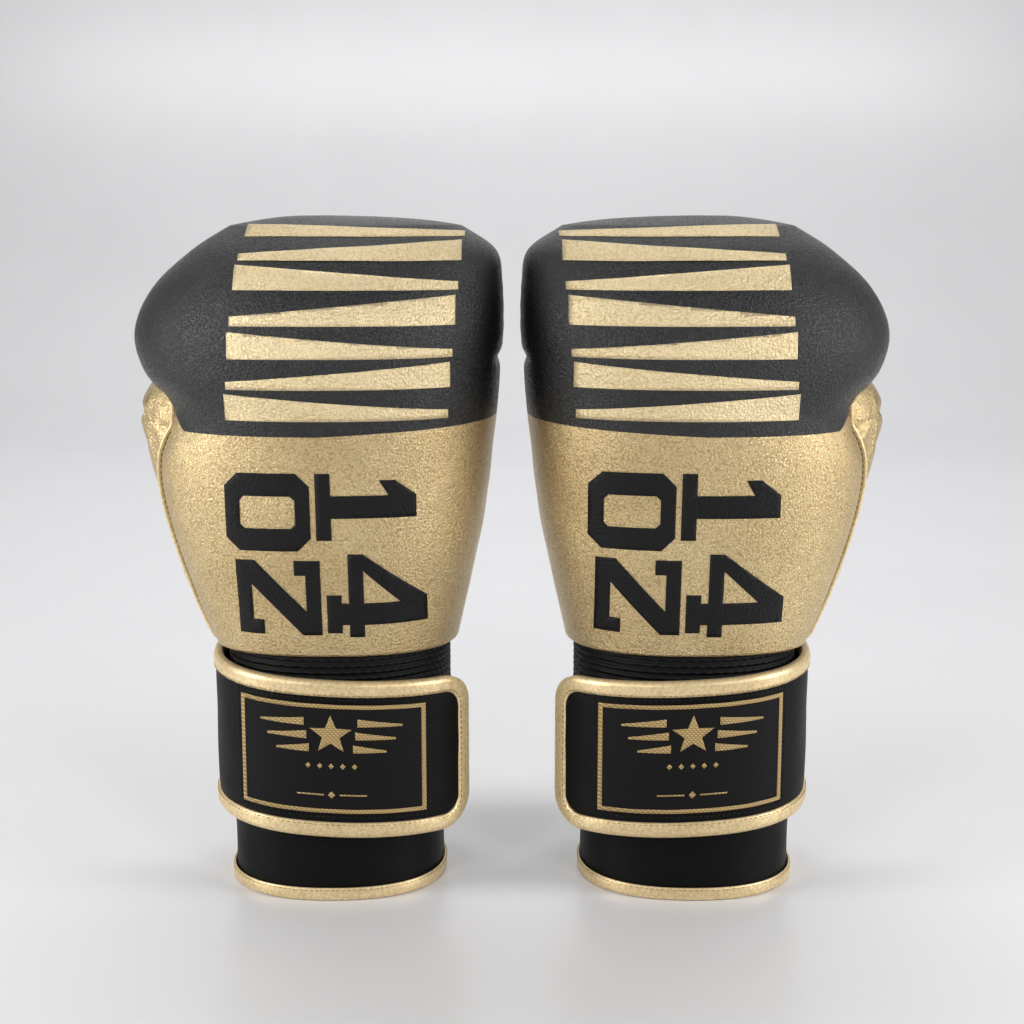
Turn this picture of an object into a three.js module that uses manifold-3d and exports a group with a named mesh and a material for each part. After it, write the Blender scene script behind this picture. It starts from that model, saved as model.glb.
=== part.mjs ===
// A pair of padded boxing gloves standing side by side on their cuffs.
// Millimetres, +Z up. The backs of the hands face -Y, the palms +Y, and the thumbs point outward.
// One glove is built about its own upright centre line, with the thumb on -X and the little finger
// on +X. That is the right hand's glove; the left hand's is its mirror image.
import * as THREE from "three";
import { mergeVertices } from "three/addons/utils/BufferGeometryUtils.js";
import Module from "manifold-3d";

const wasm = await Module();
wasm.setup();

// ---------------------------------------------------------------- driving sizes

const gloveSpacing = 171; // between the centre lines of the two gloves
const gap = 0.3; // between pieces that touch on the real glove
const leather = 1.8; // thickness of the outer skins
const lining = 1; // thickness of the fabric linings
const sides = 20; // facets around the mitt
const cuffSides = 32; // facets around the cuff and the strap

const mittBottom = 120; // lower edge of the padded mitt
const mittRoundness = 2.4; // exponent of the outline: 2 is an ellipse, more is squarer

// The outside of the mitt, from its lower edge to its crown. Each level is a height, how far the
// outline reaches to the thumb, the little finger, the back and the palm, and how round it is
// between thumb and palm, where the thumb lies against it.
const mittLevels = [
  { z: mittBottom, thumb: 58, little: 59.5, back: 50, palm: 49, corner: 2.1 },
  { z: 140, thumb: 67, little: 64, back: 54, palm: 48, corner: 1.6 },
  { z: 165, thumb: 75.5, little: 69.5, back: 59, palm: 46, corner: 1.35 },
  { z: 190, thumb: 82, little: 73.5, back: 63, palm: 50, corner: 1.3 },
  { z: 210, thumb: 82.5, little: 76, back: 66, palm: 62, corner: 1.3 },
  { z: 232, thumb: 75, little: 78.5, back: 69, palm: 75, corner: 1.45 },
  { z: 250, thumb: 87.5, little: 80, back: 70.5, palm: 82, corner: 1.9 },
  { z: 268, thumb: 91, little: 81.5, back: 70, palm: 84, corner: 2.3 },
  { z: 288, thumb: 81.5, little: 81, back: 64, palm: 81, corner: mittRoundness },
  { z: 304, thumb: 64, little: 78, back: 53, palm: 71, corner: mittRoundness },
  { z: 315.5, thumb: 46, little: 62, back: 37, palm: 53, corner: mittRoundness },
  { z: 320, thumb: 0, little: 0, back: 0, palm: 0, corner: mittRoundness },
];

// The outside of the lining, level for level: what lies between it and the mitt is padding.
const liningLevels = [
  { z: mittBottom, thumb: 47.5, little: 49, back: 40, palm: 39, corner: 2.1 },
  { z: 138, thumb: 51, little: 50, back: 37, palm: 38, corner: 1.8 },
  { z: 160, thumb: 54, little: 51, back: 34, palm: 37, corner: 1.6 },
  { z: 182, thumb: 56, little: 52, back: 32, palm: 38, corner: 1.6 },
  { z: 202, thumb: 57, little: 53, back: 32, palm: 43, corner: 1.6 },
  { z: 220, thumb: 56, little: 54, back: 33, palm: 49, corner: 1.7 },
  { z: 234, thumb: 57, little: 54, back: 33, palm: 53, corner: 1.9 },
  { z: 248, thumb: 57, little: 54, back: 32, palm: 54, corner: 2.2 },
  { z: 262, thumb: 52, little: 52, back: 28, palm: 50, corner: mittRoundness },
  { z: 272, thumb: 43, little: 46, back: 22, palm: 42, corner: mittRoundness },
  { z: 279, thumb: 30, little: 33, back: 15, palm: 30, corner: mittRoundness },
  { z: 283, thumb: 0, little: 0, back: 0, palm: 0, corner: mittRoundness },
];

// Facets around the mitt are counted from the little finger over the back to the thumb and the
// palm. Levels are counted upward. These are the seams between the outer panels.
const thumbSeam = 9; // first facet of the panel beside the thumb, where the raised cord runs
const palmSeam = 10; // first facet of the palm and the fingers
const littleSeam = 17; // first facet of the side panel
const backSeam = 19; // first facet of the back panel
const creaseLevel = 3; // the palm ends here and the curled fingers begin
const foldLevel = 5; // the fist folds here, above the thumb
const crownLevel = 8; // above this level the back panel goes all the way round

// The middle line of the thumb, from inside the mitt to the middle of its round tip.
const thumbLine = [
  { at: new THREE.Vector3(-22, 14, 128), radius: 17 },
  { at: new THREE.Vector3(-48, 30, 148), radius: 23 },
  { at: new THREE.Vector3(-54.5, 37, 168), radius: 25 },
  { at: new THREE.Vector3(-60, 43, 195), radius: 29.5 },
  { at: new THREE.Vector3(-64, 46, 222), radius: 31 },
];
const thumbPadding = 6.4;
const thumbSpread = 2.25; // how much further its outside reaches toward the back than toward the palm
const thumbFullness = 2.6; // exponent of that half of its outline
const thumbSides = 14;
const thumbTipSteps = 3;

const gripBarRadius = 8;
const gripBarAt = { y: 26, z: 197 };

const pipingRadius = 1.3;
const pipingSides = 6;

const cuffTop = 95;
const cuffPadding = 6;
const cuffRoundness = 2.3;
// The outside of the cuff, from the rim up to the wrist.
const cuffLevels = [
  { z: 0, thumb: 51, little: 51, back: 45, palm: 45 },
  { z: 40, thumb: 51, little: 52, back: 46, palm: 46 },
  { z: cuffTop, thumb: 52, little: 55.5, back: 49.5, palm: 49.5 },
];
const rimHeight = 6.5; // of the binding on the bottom rim
const rimSole = 1.5; // how thick that binding is under the rim
const rimSkin = 1.2; // and at its sides

const wristBandThickness = 2.5;

// The closing strap, laid around the cuff. A place on it is how far it lies around the cuff from
// the middle of the back, toward the little finger, then its height and its distance outward.
const strapThickness = 2.5;
const hookThickness = 1.2;
// Its pieces bend at the facets of the cuff, so those are their stations, counted the same way.
const flapRoot = -8; // where the flap begins, on the thumb's side
const lastBend = 5; // the last facet before the flap's free end
const bridgeEnd = -20; // the sewn end of the bridge, on the palm
const bendRoom = 3; // between flap and bridge, where the strap folds back
const strapSlope = -0.062; // the strap runs down toward its free end
const flapCorner = 14; // radius of the rounded free end
const springStart = 20; // past here the flap springs away from the cuff
const springReach = 6; // how far it does so at its free end
const bindingWidth = 6;
const bindingSkin = 1;
const labelSize = { width: 84, height: 52, thickness: 0.8 };
const labelShift = 3.5; // of the label's middle toward the little finger

const colours = {
  gold: { color: 0xc2a56b, roughness: 0.38, metalness: 0.55 },
  black: { color: 0x141414, roughness: 0.45, metalness: 0 },
  mesh: { color: 0x101012, roughness: 0.8, metalness: 0 },
  fabric: { color: 0x1c1c1e, roughness: 0.9, metalness: 0 },
  foam: { color: 0xd9d2bd, roughness: 0.95, metalness: 0 },
  hook: { color: 0x0d0d0d, roughness: 0.95, metalness: 0 },
};

// ---------------------------------------------------------------- solids from triangles

// A closed solid from a list of triangles, turned right side out.
function solidFrom(triangles) {
  const places = new Float32Array(triangles.flat().flatMap((corner) => corner.toArray()));
  const loose = new THREE.BufferGeometry();
  loose.setAttribute("position", new THREE.BufferAttribute(places, 3));
  const welded = mergeVertices(loose, 1e-4);
  const corners = Array.from(welded.index.array);
  const kept = [];
  for (let k = 0; k < corners.length; k += 3) {
    const [a, b, c] = corners.slice(k, k + 3);
    if (a !== b && b !== c && c !== a) kept.push(a, b, c);
  }
  welded.setIndex(kept);
  if (signedVolume(welded) < 0) welded.setIndex(kept.reverse());
  return welded;
}

function signedVolume(geometry) {
  const at = geometry.getAttribute("position");
  const index = geometry.index.array;
  const [a, b, c] = [new THREE.Vector3(), new THREE.Vector3(), new THREE.Vector3()];
  let total = 0;
  for (let k = 0; k < index.length; k += 3) {
    a.fromBufferAttribute(at, index[k]);
    b.fromBufferAttribute(at, index[k + 1]);
    c.fromBufferAttribute(at, index[k + 2]);
    total += a.dot(b.cross(c)) / 6;
  }
  return total;
}

function quad(a, b, c, d) {
  return [
    [a, b, c],
    [a, c, d],
  ];
}

// The cells around a grid point that the piece covers.
function cellsAround(row, column, columns, wraps, covers) {
  const cells = [];
  for (const r of [row - 1, row]) {
    for (const c of [column - 1, column]) {
      const wrapped = wraps ? (c + columns) % columns : c;
      if (covers(r, wrapped)) cells.push([r, wrapped]);
    }
  }
  return cells;
}

// The grid with every point on the piece's edge drawn in, so that neighbours keep a gap.
function drawnIn(grid, wraps, covers) {
  const columns = wraps ? grid[0].length : grid[0].length - 1;
  return grid.map((line, row) =>
    line.map((point, column) => {
      const cells = cellsAround(row, column, columns, wraps, covers);
      const onEdge = cells.length > 0 && cells.length < 4;
      if (!onEdge || row === grid.length - 1) return point;
      const middle = new THREE.Vector3();
      for (const [r, c] of cells) {
        const next = wraps ? (c + 1) % columns : c + 1;
        for (const corner of [grid[r][c], grid[r][next], grid[r + 1][c], grid[r + 1][next]]) {
          middle.addScaledVector(corner, 1 / (4 * cells.length));
        }
      }
      return point.clone().addScaledVector(middle.sub(point).normalize(), gap);
    }),
  );
}

// The solid between an outer and an inner grid of points, over the cells that it covers.
function slab(outer, inner, wraps, covers) {
  const rows = outer.length - 1;
  const columns = wraps ? outer[0].length : outer[0].length - 1;
  const inGrid = (r, c) => r >= 0 && r < rows && c >= 0 && c < columns;
  const isCovered = (r, c) => inGrid(r, c) && covers(r, c);
  const [top, bottom] = [outer, inner].map((grid) => drawnIn(grid, wraps, isCovered));
  const triangles = [];
  for (let r = 0; r < rows; r++) {
    for (let c = 0; c < columns; c++) {
      if (!isCovered(r, c)) continue;
      const next = wraps ? (c + 1) % columns : c + 1;
      const before = wraps ? (c + columns - 1) % columns : c - 1;
      const after = wraps ? next : c + 1;
      triangles.push(...quad(top[r][c], top[r][next], top[r + 1][next], top[r + 1][c]));
      triangles.push(...quad(bottom[r][c], bottom[r + 1][c], bottom[r + 1][next], bottom[r][next]));
      const edges = [
        [isCovered(r - 1, c), [r, c], [r, next]],
        [isCovered(r, after), [r, next], [r + 1, next]],
        [isCovered(r + 1, c), [r + 1, next], [r + 1, c]],
        [isCovered(r, before), [r + 1, c], [r, c]],
      ];
      for (const [isShared, [r1, c1], [r2, c2]] of edges) {
        if (isShared) continue;
        const wall = [top[r1][c1], bottom[r1][c1], bottom[r2][c2], top[r2][c2]];
        // Two pieces that face each other split their walls along the same diagonal.
        const isForward = r1 === r2 ? c1 < c2 : r1 < r2;
        triangles.push(...quad(...(isForward ? wall : [...wall.slice(1), wall[0]])));
      }
    }
  }
  return solidFrom(triangles);
}

const everyCell = () => true;

// The solid inside one wrapped grid, closed flat at the bottom and at a point on top.
function filled(grid) {
  const middle = new THREE.Vector3();
  for (const point of grid[0]) middle.addScaledVector(point, 1 / grid[0].length);
  const bottom = grid[0].map(() => middle);
  const levels = [bottom, ...grid];
  const triangles = [];
  for (let r = 0; r + 1 < levels.length; r++) {
    for (let c = 0; c < grid[0].length; c++) {
      const next = (c + 1) % grid[0].length;
      triangles.push(...quad(levels[r][c], levels[r][next], levels[r + 1][next], levels[r + 1][c]));
    }
  }
  return solidFrom(triangles);
}

// The solid swept by a closed outline, given as one ring of points for each step along its way.
function swept(rings, isLoop) {
  const steps = isLoop ? rings.length : rings.length - 1;
  const count = rings[0].length;
  const triangles = [];
  for (let r = 0; r < steps; r++) {
    const [here, there] = [rings[r], rings[(r + 1) % rings.length]];
    for (let c = 0; c < count; c++) {
      const next = (c + 1) % count;
      triangles.push(...quad(here[c], here[next], there[next], there[c]));
    }
  }
  if (!isLoop) {
    const faces = THREE.ShapeUtils.triangulateShape(flatOutline(rings[0]), []);
    for (const [a, b, c] of faces) {
      triangles.push([rings[0][c], rings[0][b], rings[0][a]]);
      const end = rings[rings.length - 1];
      triangles.push([end[a], end[b], end[c]]);
    }
  }
  return solidFrom(triangles);
}

// A flat ring of points in space as 2D points in its own plane.
function flatOutline(ring) {
  const normal = new THREE.Vector3();
  for (let k = 0; k < ring.length; k++) {
    normal.add(ring[k].clone().cross(ring[(k + 1) % ring.length]));
  }
  normal.normalize();
  const along = ring[1].clone().sub(ring[0]).normalize();
  const across = normal.clone().cross(along);
  return ring.map((point) => new THREE.Vector2(point.dot(along), point.dot(across)));
}

// ---------------------------------------------------------------- cutting

function toManifold(geometry) {
  const vertProperties = Float32Array.from(geometry.getAttribute("position").array);
  const triVerts = Uint32Array.from(geometry.index.array);
  return new wasm.Manifold(new wasm.Mesh({ numProp: 3, vertProperties, triVerts }));
}

function fromManifold(solid) {
  const { vertProperties, triVerts } = solid.getMesh();
  const geometry = new THREE.BufferGeometry();
  geometry.setAttribute("position", new THREE.BufferAttribute(vertProperties, 3));
  geometry.setIndex(new THREE.BufferAttribute(triVerts, 1));
  return geometry;
}

function cut(body, ...tools) {
  return fromManifold(tools.reduce((left, tool) => left.subtract(toManifold(tool)), toManifold(body)));
}

function common(a, b) {
  return fromManifold(toManifold(a).intersect(toManifold(b)));
}

// ---------------------------------------------------------------- outlines

// A point of a rounded outline. A quarter turn is the back, a half turn the thumb.
function outlinePoint(level, turn, roundness) {
  const angle = turn * 2 * Math.PI;
  const [toLittle, toBack] = [Math.cos(angle), Math.sin(angle)];
  const isThumbCorner = toLittle < 0 && toBack < 0;
  const power = 2 / (isThumbCorner && level.corner ? level.corner : roundness);
  const width = toLittle < 0 ? -level.thumb : level.little;
  const depth = toBack < 0 ? level.palm : -level.back;
  const x = width * Math.abs(toLittle) ** power;
  const y = depth * Math.abs(toBack) ** power;
  return new THREE.Vector3(x, y, level.z);
}

function mittGrid(levels) {
  return levels.map((level) =>
    Array.from({ length: sides }, (_, c) => outlinePoint(level, c / sides, mittRoundness)),
  );
}

// A grid moved along its own outward normals.
function offsetGrid(grid, distance) {
  return grid.map((line, r) =>
    line.map((point, c) => {
      if (r === grid.length - 1) return point.clone().setZ(point.z + distance);
      const above = grid[r + 1][c];
      const below = grid[Math.max(r - 1, 0)][c];
      const [last, next] = [line[(c + sides - 1) % sides], line[(c + 1) % sides]];
      const normal = above.clone().sub(below).cross(next.clone().sub(last)).normalize();
      return point.clone().addScaledVector(normal, distance);
    }),
  );
}

// The lowest line of a grid set back to one height, for pieces that end on a level edge.
function levelFoot(grid, height) {
  return grid.map((line, r) => (r === 0 ? line.map((point) => point.clone().setZ(height)) : line));
}

// ---------------------------------------------------------------- mitt

const mittSkin = mittGrid(mittLevels);
const underSkin = levelFoot(offsetGrid(mittSkin, -leather), mittBottom);
const paddingFace = levelFoot(offsetGrid(mittSkin, -leather - gap), mittBottom);
const liningFace = mittGrid(liningLevels);
const liningInside = levelFoot(offsetGrid(liningFace, -lining), mittBottom);
const paddingInside = levelFoot(offsetGrid(liningFace, gap), mittBottom);

const isBack = (column) => column >= backSeam || column < palmSeam;
const isSide = (column) => column >= littleSeam && column < backSeam;
const isPalm = (column) => !isBack(column) && !isSide(column);
const isThumbSide = (level, column) => level < foldLevel && column >= thumbSeam && column < palmSeam;

function backPanel() {
  const isHere = (level, column) => isBack(column) && !isThumbSide(level, column);
  return slab(mittSkin, underSkin, true, (level, column) => level >= crownLevel || isHere(level, column));
}

// The strip between the raised cord and the thumb.
function thumbSidePanel() {
  return slab(mittSkin, underSkin, true, isThumbSide);
}

function sidePanel() {
  return slab(mittSkin, underSkin, true, (level, column) => level < crownLevel && isSide(column));
}

function palmPanel() {
  const panel = slab(mittSkin, underSkin, true, (level, column) => level < creaseLevel && isPalm(column));
  return cut(panel, thumbVolume(leather + gap + thumbPadding));
}

function fingerPanel() {
  const isFinger = (level, column) => level >= creaseLevel && level < crownLevel && isPalm(column);
  const panel = slab(mittSkin, underSkin, true, isFinger);
  return cut(panel, thumbVolume(leather + gap + thumbPadding));
}

// The padding over the back of the hand, up to the fold above the thumb.
function backFoam() {
  return slab(paddingFace, paddingInside, true, (level, column) => level < foldLevel && isBack(column));
}

// The thick block over the knuckles.
function knuckleFoam() {
  const covers = (level, column) => level >= foldLevel && level < crownLevel && isBack(column);
  return slab(paddingFace, paddingInside, true, covers);
}

// The end of the fist, where the padding folds over the fingers.
function crownFoam() {
  return slab(paddingFace, paddingInside, true, (level) => level >= crownLevel);
}

function fingerFoam() {
  const covers = (level, column) => level >= creaseLevel && level < crownLevel && !isBack(column);
  const foam = slab(paddingFace, paddingInside, true, covers);
  return cut(foam, thumbVolume(leather + gap + thumbPadding));
}

function palmFoam() {
  const covers = (level, column) => level < creaseLevel && !isBack(column);
  const foam = slab(paddingFace, paddingInside, true, covers);
  return cut(foam, thumbVolume(leather + gap + thumbPadding));
}

function handLining() {
  const sack = slab(liningFace, liningInside, true, everyCell);
  return cut(sack, thumbVolume(leather + thumbPadding + lining + 2 * gap));
}

// The padded bar across the palm that the fingers close on, its ends shaped to the lining.
function gripBar() {
  const longEnough = 2 * liningLevels[0].little + 2 * liningLevels[0].thumb;
  const bar = new THREE.CylinderGeometry(gripBarRadius, gripBarRadius, longEnough, 12);
  bar.rotateZ(Math.PI / 2).translate(0, gripBarAt.y, gripBarAt.z);
  const room = filled(offsetGrid(liningFace, -lining - gap));
  return common(welded(bar), room);
}

// A closed geometry of three.js with its seams joined.
function welded(geometry) {
  const bare = new THREE.BufferGeometry();
  bare.setAttribute("position", geometry.getAttribute("position"));
  bare.setIndex(geometry.index);
  return mergeVertices(bare, 1e-4);
}

// The raised cord along the seam between the back and the thumb.
function sidePiping() {
  const line = mittSkin.slice(0, foldLevel + 1).map((level) => level[thumbSeam]);
  const height = leather / 2 + pipingRadius;
  const middle = line.map((point) => point.clone().add(new THREE.Vector3(-height, 0, 0)));
  middle[0].z += pipingRadius;
  const rings = middle.map((centre) =>
    Array.from({ length: pipingSides }, (_, k) => {
      const angle = (k / pipingSides) * 2 * Math.PI;
      const reach = new THREE.Vector3(Math.cos(angle), Math.sin(angle), 0);
      return centre.clone().addScaledVector(reach, pipingRadius);
    }),
  );
  return swept(rings, false);
}

// ---------------------------------------------------------------- thumb

// The solid thumb, its surface moved inward by a depth. The spread stretches its back half, so
// that its outer skin starts at the seam on the mitt's side.
function thumbVolume(depth, spread = 1) {
  const levels = thumbLine.map(({ at, radius }, k) => {
    const before = thumbLine[Math.max(k - 1, 0)].at;
    const after = thumbLine[Math.min(k + 1, thumbLine.length - 1)].at;
    const along = after.clone().sub(before).normalize();
    return { at, radius: radius - depth, backward: radius * spread - depth, along };
  });
  const tip = levels[levels.length - 1];
  for (let k = 1; k <= thumbTipSteps; k++) {
    const turn = (k / thumbTipSteps) * (Math.PI / 2);
    const narrowing = k === thumbTipSteps ? 0 : Math.cos(turn);
    levels.push({
      at: tip.at.clone().addScaledVector(tip.along, tip.radius * Math.sin(turn)),
      radius: tip.radius * narrowing,
      backward: tip.backward * narrowing,
      along: tip.along,
    });
  }
  const grid = levels.map(({ at, radius, backward, along }) => {
    const across = new THREE.Vector3(0, 1, 0).cross(along).normalize();
    const toPalm = along.clone().cross(across);
    return Array.from({ length: thumbSides }, (_, c) => {
      const angle = (-c / thumbSides) * 2 * Math.PI;
      const isFull = spread > 1 && Math.sin(angle) < 0;
      const power = isFull ? 2 / thumbFullness : 1;
      const reach = (value) => Math.sign(value) * Math.abs(value) ** power;
      const place = at.clone().addScaledVector(across, radius * reach(Math.cos(angle)));
      return place.addScaledVector(toPalm, (isFull ? backward : radius) * reach(Math.sin(angle)));
    });
  });
  return filled(grid);
}

// Everything the thumb may not enter: the mitt itself and the space below it.
function keepOut(face) {
  const below = new THREE.BoxGeometry(200, 200, mittBottom).translate(0, 0, mittBottom / 2 + gap);
  return [filled(levelFoot(offsetGrid(face, gap), mittBottom - 1)), welded(below)];
}

function thumbShell() {
  const outside = thumbVolume(0, thumbSpread);
  return cut(outside, thumbVolume(leather, thumbSpread), ...keepOut(mittSkin));
}

function thumbFoam() {
  const depth = leather + gap;
  const outside = thumbVolume(depth, thumbSpread);
  return cut(outside, thumbVolume(depth + thumbPadding), ...keepOut(mittSkin));
}

function thumbLining() {
  const depth = leather + thumbPadding + 2 * gap;
  return cut(thumbVolume(depth), thumbVolume(depth + lining), ...keepOut(liningFace));
}

// ---------------------------------------------------------------- cuff

function cuffLevelAt(z) {
  const last = cuffLevels.length - 1;
  const upper = Math.min(Math.max(cuffLevels.findIndex((level) => level.z > z), 1), last);
  const above = cuffLevels[z >= cuffLevels[last].z ? last : upper];
  const below = cuffLevels[z >= cuffLevels[last].z ? last : upper - 1];
  const part = above === below ? 0 : (z - below.z) / (above.z - below.z);
  const blend = (name) => THREE.MathUtils.lerp(below[name], above[name], part);
  return { z, thumb: blend("thumb"), little: blend("little"), back: blend("back"), palm: blend("palm") };
}

function grown(level, by) {
  const { z, thumb, little, back, palm } = level;
  return { z, thumb: thumb + by, little: little + by, back: back + by, palm: palm + by };
}

// A point around the cuff at a height and a distance outward.
function cuffPoint(column, z, out) {
  return outlinePoint(grown(cuffLevelAt(z), out), column / cuffSides, cuffRoundness);
}

const cuffColumns = Array.from({ length: cuffSides }, (_, c) => c);

// A ring around the cuff with the given cross-section: [distance outward, height] for each corner.
function cuffRing(section) {
  const rings = cuffColumns.map((column) => section.map(([out, z]) => cuffPoint(column, z, out)));
  return swept(rings, true);
}

// A tube around the cuff from one height to another that follows its flare.
function cuffTube(outside, thickness, low, high) {
  const heights = [low, ...cuffLevels.map(({ z }) => z).filter((z) => z > low && z < high), high];
  const face = (out) => heights.map((z) => cuffColumns.map((column) => cuffPoint(column, z, out)));
  return slab(face(outside), face(outside - thickness), true, everyCell);
}

const cuffFoamFace = -leather - gap;
const cuffLiningFace = cuffFoamFace - cuffPadding - gap;
const cuffInside = cuffLiningFace - lining;
const cuffFoot = rimSole + gap;

function cuffShell() {
  return cuffTube(0, leather, cuffFoot, cuffTop);
}

function cuffFoam() {
  return cuffTube(cuffFoamFace, cuffPadding, cuffFoot, cuffTop);
}

function cuffLining() {
  return cuffTube(cuffLiningFace, lining, cuffFoot, cuffTop);
}

function cuffBinding() {
  return cuffRing([
    [gap, cuffFoot - gap],
    [gap, rimHeight],
    [gap + rimSkin, rimHeight],
    [gap + rimSkin, 0],
    [cuffInside - gap - rimSkin, 0],
    [cuffInside - gap - rimSkin, rimHeight],
    [cuffInside - gap, rimHeight],
    [cuffInside - gap, cuffFoot - gap],
  ]);
}

function wristBand() {
  return cuffTube(-gap, wristBandThickness, cuffTop + gap, mittBottom - gap);
}

// ---------------------------------------------------------------- strap

// The cuff's outline at the strap, walked from the middle of the back.
const walk = (() => {
  const steps = 12 * cuffSides;
  const level = { ...cuffLevels[cuffLevels.length - 1], z: 0 };
  const points = Array.from({ length: steps + 1 }, (_, k) =>
    outlinePoint(level, (0.25 - k / steps + 1) % 1, cuffRoundness),
  );
  const lengths = [0];
  for (let k = 1; k <= steps; k++) {
    lengths.push(lengths[k - 1] + points[k].distanceTo(points[k - 1]));
  }
  return { points, lengths, whole: lengths[steps] };
})();

// A point against the cuff at a distance around, a height and a distance outward.
function bandPoint(around, z, out) {
  const length = (around + walk.whole) % walk.whole;
  const k = Math.max(walk.lengths.findIndex((value) => value > length), 1);
  const part = (length - walk.lengths[k - 1]) / (walk.lengths[k] - walk.lengths[k - 1]);
  const along = walk.points[k].clone().sub(walk.points[k - 1]);
  const outward = new THREE.Vector3(along.y, -along.x, 0).normalize();
  const place = walk.points[k - 1].clone().addScaledVector(along, part);
  return place.addScaledVector(outward, out).setZ(z);
}

// A point of the strap, which springs away from the cuff toward its free end.
function strapPoint(around, z, out) {
  const part = Math.max(around - springStart, 0) / (cornerStart + flapCorner - springStart);
  return bandPoint(around, z, out + springReach * part ** 2);
}

const loopFace = gap + hookThickness;
const hookUnder = loopFace + gap;
const strapUnder = hookUnder + hookThickness + gap;
const strapFace = strapUnder + strapThickness;

const flapTop = (around) => 109 + strapSlope * around;
const flapBottom = (around) => 36.5 + strapSlope * around;
const labelMiddle = (around) => 73.4 + strapSlope * around;

// How far around the cuff a facet lies from the middle of the back.
function facetAt(index) {
  const samples = (walk.points.length - 1) / cuffSides;
  if (index >= 0) return walk.lengths[index * samples];
  return walk.lengths[(cuffSides + index) * samples] - walk.whole;
}

// The places around the cuff of a run of its facets.
function facets(from, to) {
  return Array.from({ length: to - from + 1 }, (_, k) => facetAt(from + k));
}

// A sheet lying around the cuff between a lower and an upper edge.
function wrapped(places, lower, upper, under, over, rows, pointAt = strapPoint) {
  const grid = (out) =>
    places.map((around) =>
      Array.from({ length: rows + 1 }, (_, k) => {
        const z = THREE.MathUtils.lerp(lower(around), upper(around), k / rows);
        return pointAt(around, z, out);
      }),
    );
  return slab(grid(over), grid(under), false, everyCell);
}

const flapStraight = facets(flapRoot, lastBend);
const cornerStart = facetAt(lastBend);
const cornerTurns = [0.2, 0.4, 0.6, 0.8, 1].map((part) => part * (Math.PI / 2));

// How far the rounded free end draws the flap's edges together.
function endRounding(around) {
  const into = Math.max(around - cornerStart, 0);
  return flapCorner - Math.sqrt(Math.max(flapCorner ** 2 - into ** 2, 0));
}

function strapFlap() {
  const bend = cornerTurns.map((turn) => cornerStart + flapCorner * Math.sin(turn));
  const lower = (around) => flapBottom(around) + endRounding(around);
  const upper = (around) => flapTop(around) - endRounding(around);
  return wrapped([...flapStraight, ...bend], lower, upper, strapUnder, strapFace, 2);
}

// A folded edge binding that grips the strap along an edge, given as stations with the edge's
// height and the direction, around and up, that leads from the edge into the strap.
function edgeBinding(edge) {
  const legs = [
    [bindingWidth, strapFace + gap],
    [bindingWidth, strapFace + gap + bindingSkin],
    [-gap - bindingSkin, strapFace + gap + bindingSkin],
    [-gap - bindingSkin, strapUnder - gap - bindingSkin],
    [bindingWidth, strapUnder - gap - bindingSkin],
    [bindingWidth, strapUnder - gap],
    [-gap, strapUnder - gap],
    [-gap, strapFace + gap],
  ];
  const rings = edge.map(({ around, z, inward }) =>
    legs.map(([depth, out]) => strapPoint(around + inward[0] * depth, z + inward[1] * depth, out)),
  );
  return swept(rings, false);
}

const upward = [0, 1];
const downward = [0, -1];

function flapBinding() {
  const lower = flapStraight.map((around) => ({ around, z: flapBottom(around), inward: upward }));
  const upper = flapStraight.map((around) => ({ around, z: flapTop(around), inward: downward }));
  const corner = (turn, edge, side) => {
    const around = cornerStart + flapCorner * Math.sin(turn);
    const z = edge(cornerStart) + side * flapCorner * (1 - Math.cos(turn));
    return { around, z, inward: [-Math.sin(turn), side * Math.cos(turn)] };
  };
  const lowCorner = cornerTurns.map((turn) => corner(turn, flapBottom, 1));
  const highCorner = cornerTurns.map((turn) => corner(turn, flapTop, -1)).reverse();
  return edgeBinding([...lower, ...lowCorner, ...highCorner, ...upper.reverse()]);
}

const bridgePlaces = [facetAt(flapRoot) - bendRoom, ...facets(bridgeEnd, flapRoot - 1).reverse()];
const bridgeStart = bridgePlaces[0];
const bridgeTop = (around) => flapTop(bridgeStart) - 0.14 * (bridgeStart - around);
const bridgeBottom = () => flapBottom(bridgeStart);

function strapBridge() {
  return wrapped(bridgePlaces, bridgeBottom, bridgeTop, strapUnder, strapFace, 2);
}

function bridgeUpperBinding() {
  return edgeBinding(bridgePlaces.map((around) => ({ around, z: bridgeTop(around), inward: downward })));
}

function bridgeLowerBinding() {
  return edgeBinding(bridgePlaces.map((around) => ({ around, z: bridgeBottom(), inward: upward })));
}

const clearOfBinding = bindingWidth + 2;

function hookPatch() {
  const lower = (around) => flapBottom(around) + clearOfBinding;
  const upper = (around) => flapTop(around) - 2 * clearOfBinding;
  return wrapped(facets(2, lastBend), lower, upper, hookUnder, hookUnder + hookThickness, 1);
}

function loopPatch() {
  const lower = () => flapBottom(0) + clearOfBinding;
  const upper = () => cuffTop - gap;
  return wrapped(facets(0, lastBend + 1), lower, upper, gap, loopFace, 1, bandPoint);
}

function labelPatch() {
  const [start, end] = [-1, 1].map((side) => labelShift + (side * labelSize.width) / 2);
  const inside = facets(flapRoot, lastBend).filter((around) => around > start + 1 && around < end - 1);
  const lower = (around) => labelMiddle(around) - labelSize.height / 2;
  const upper = (around) => labelMiddle(around) + labelSize.height / 2;
  const under = strapFace + gap;
  return wrapped([start, ...inside, end], lower, upper, under, under + labelSize.thickness, 1);
}

// ---------------------------------------------------------------- the pair

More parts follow.
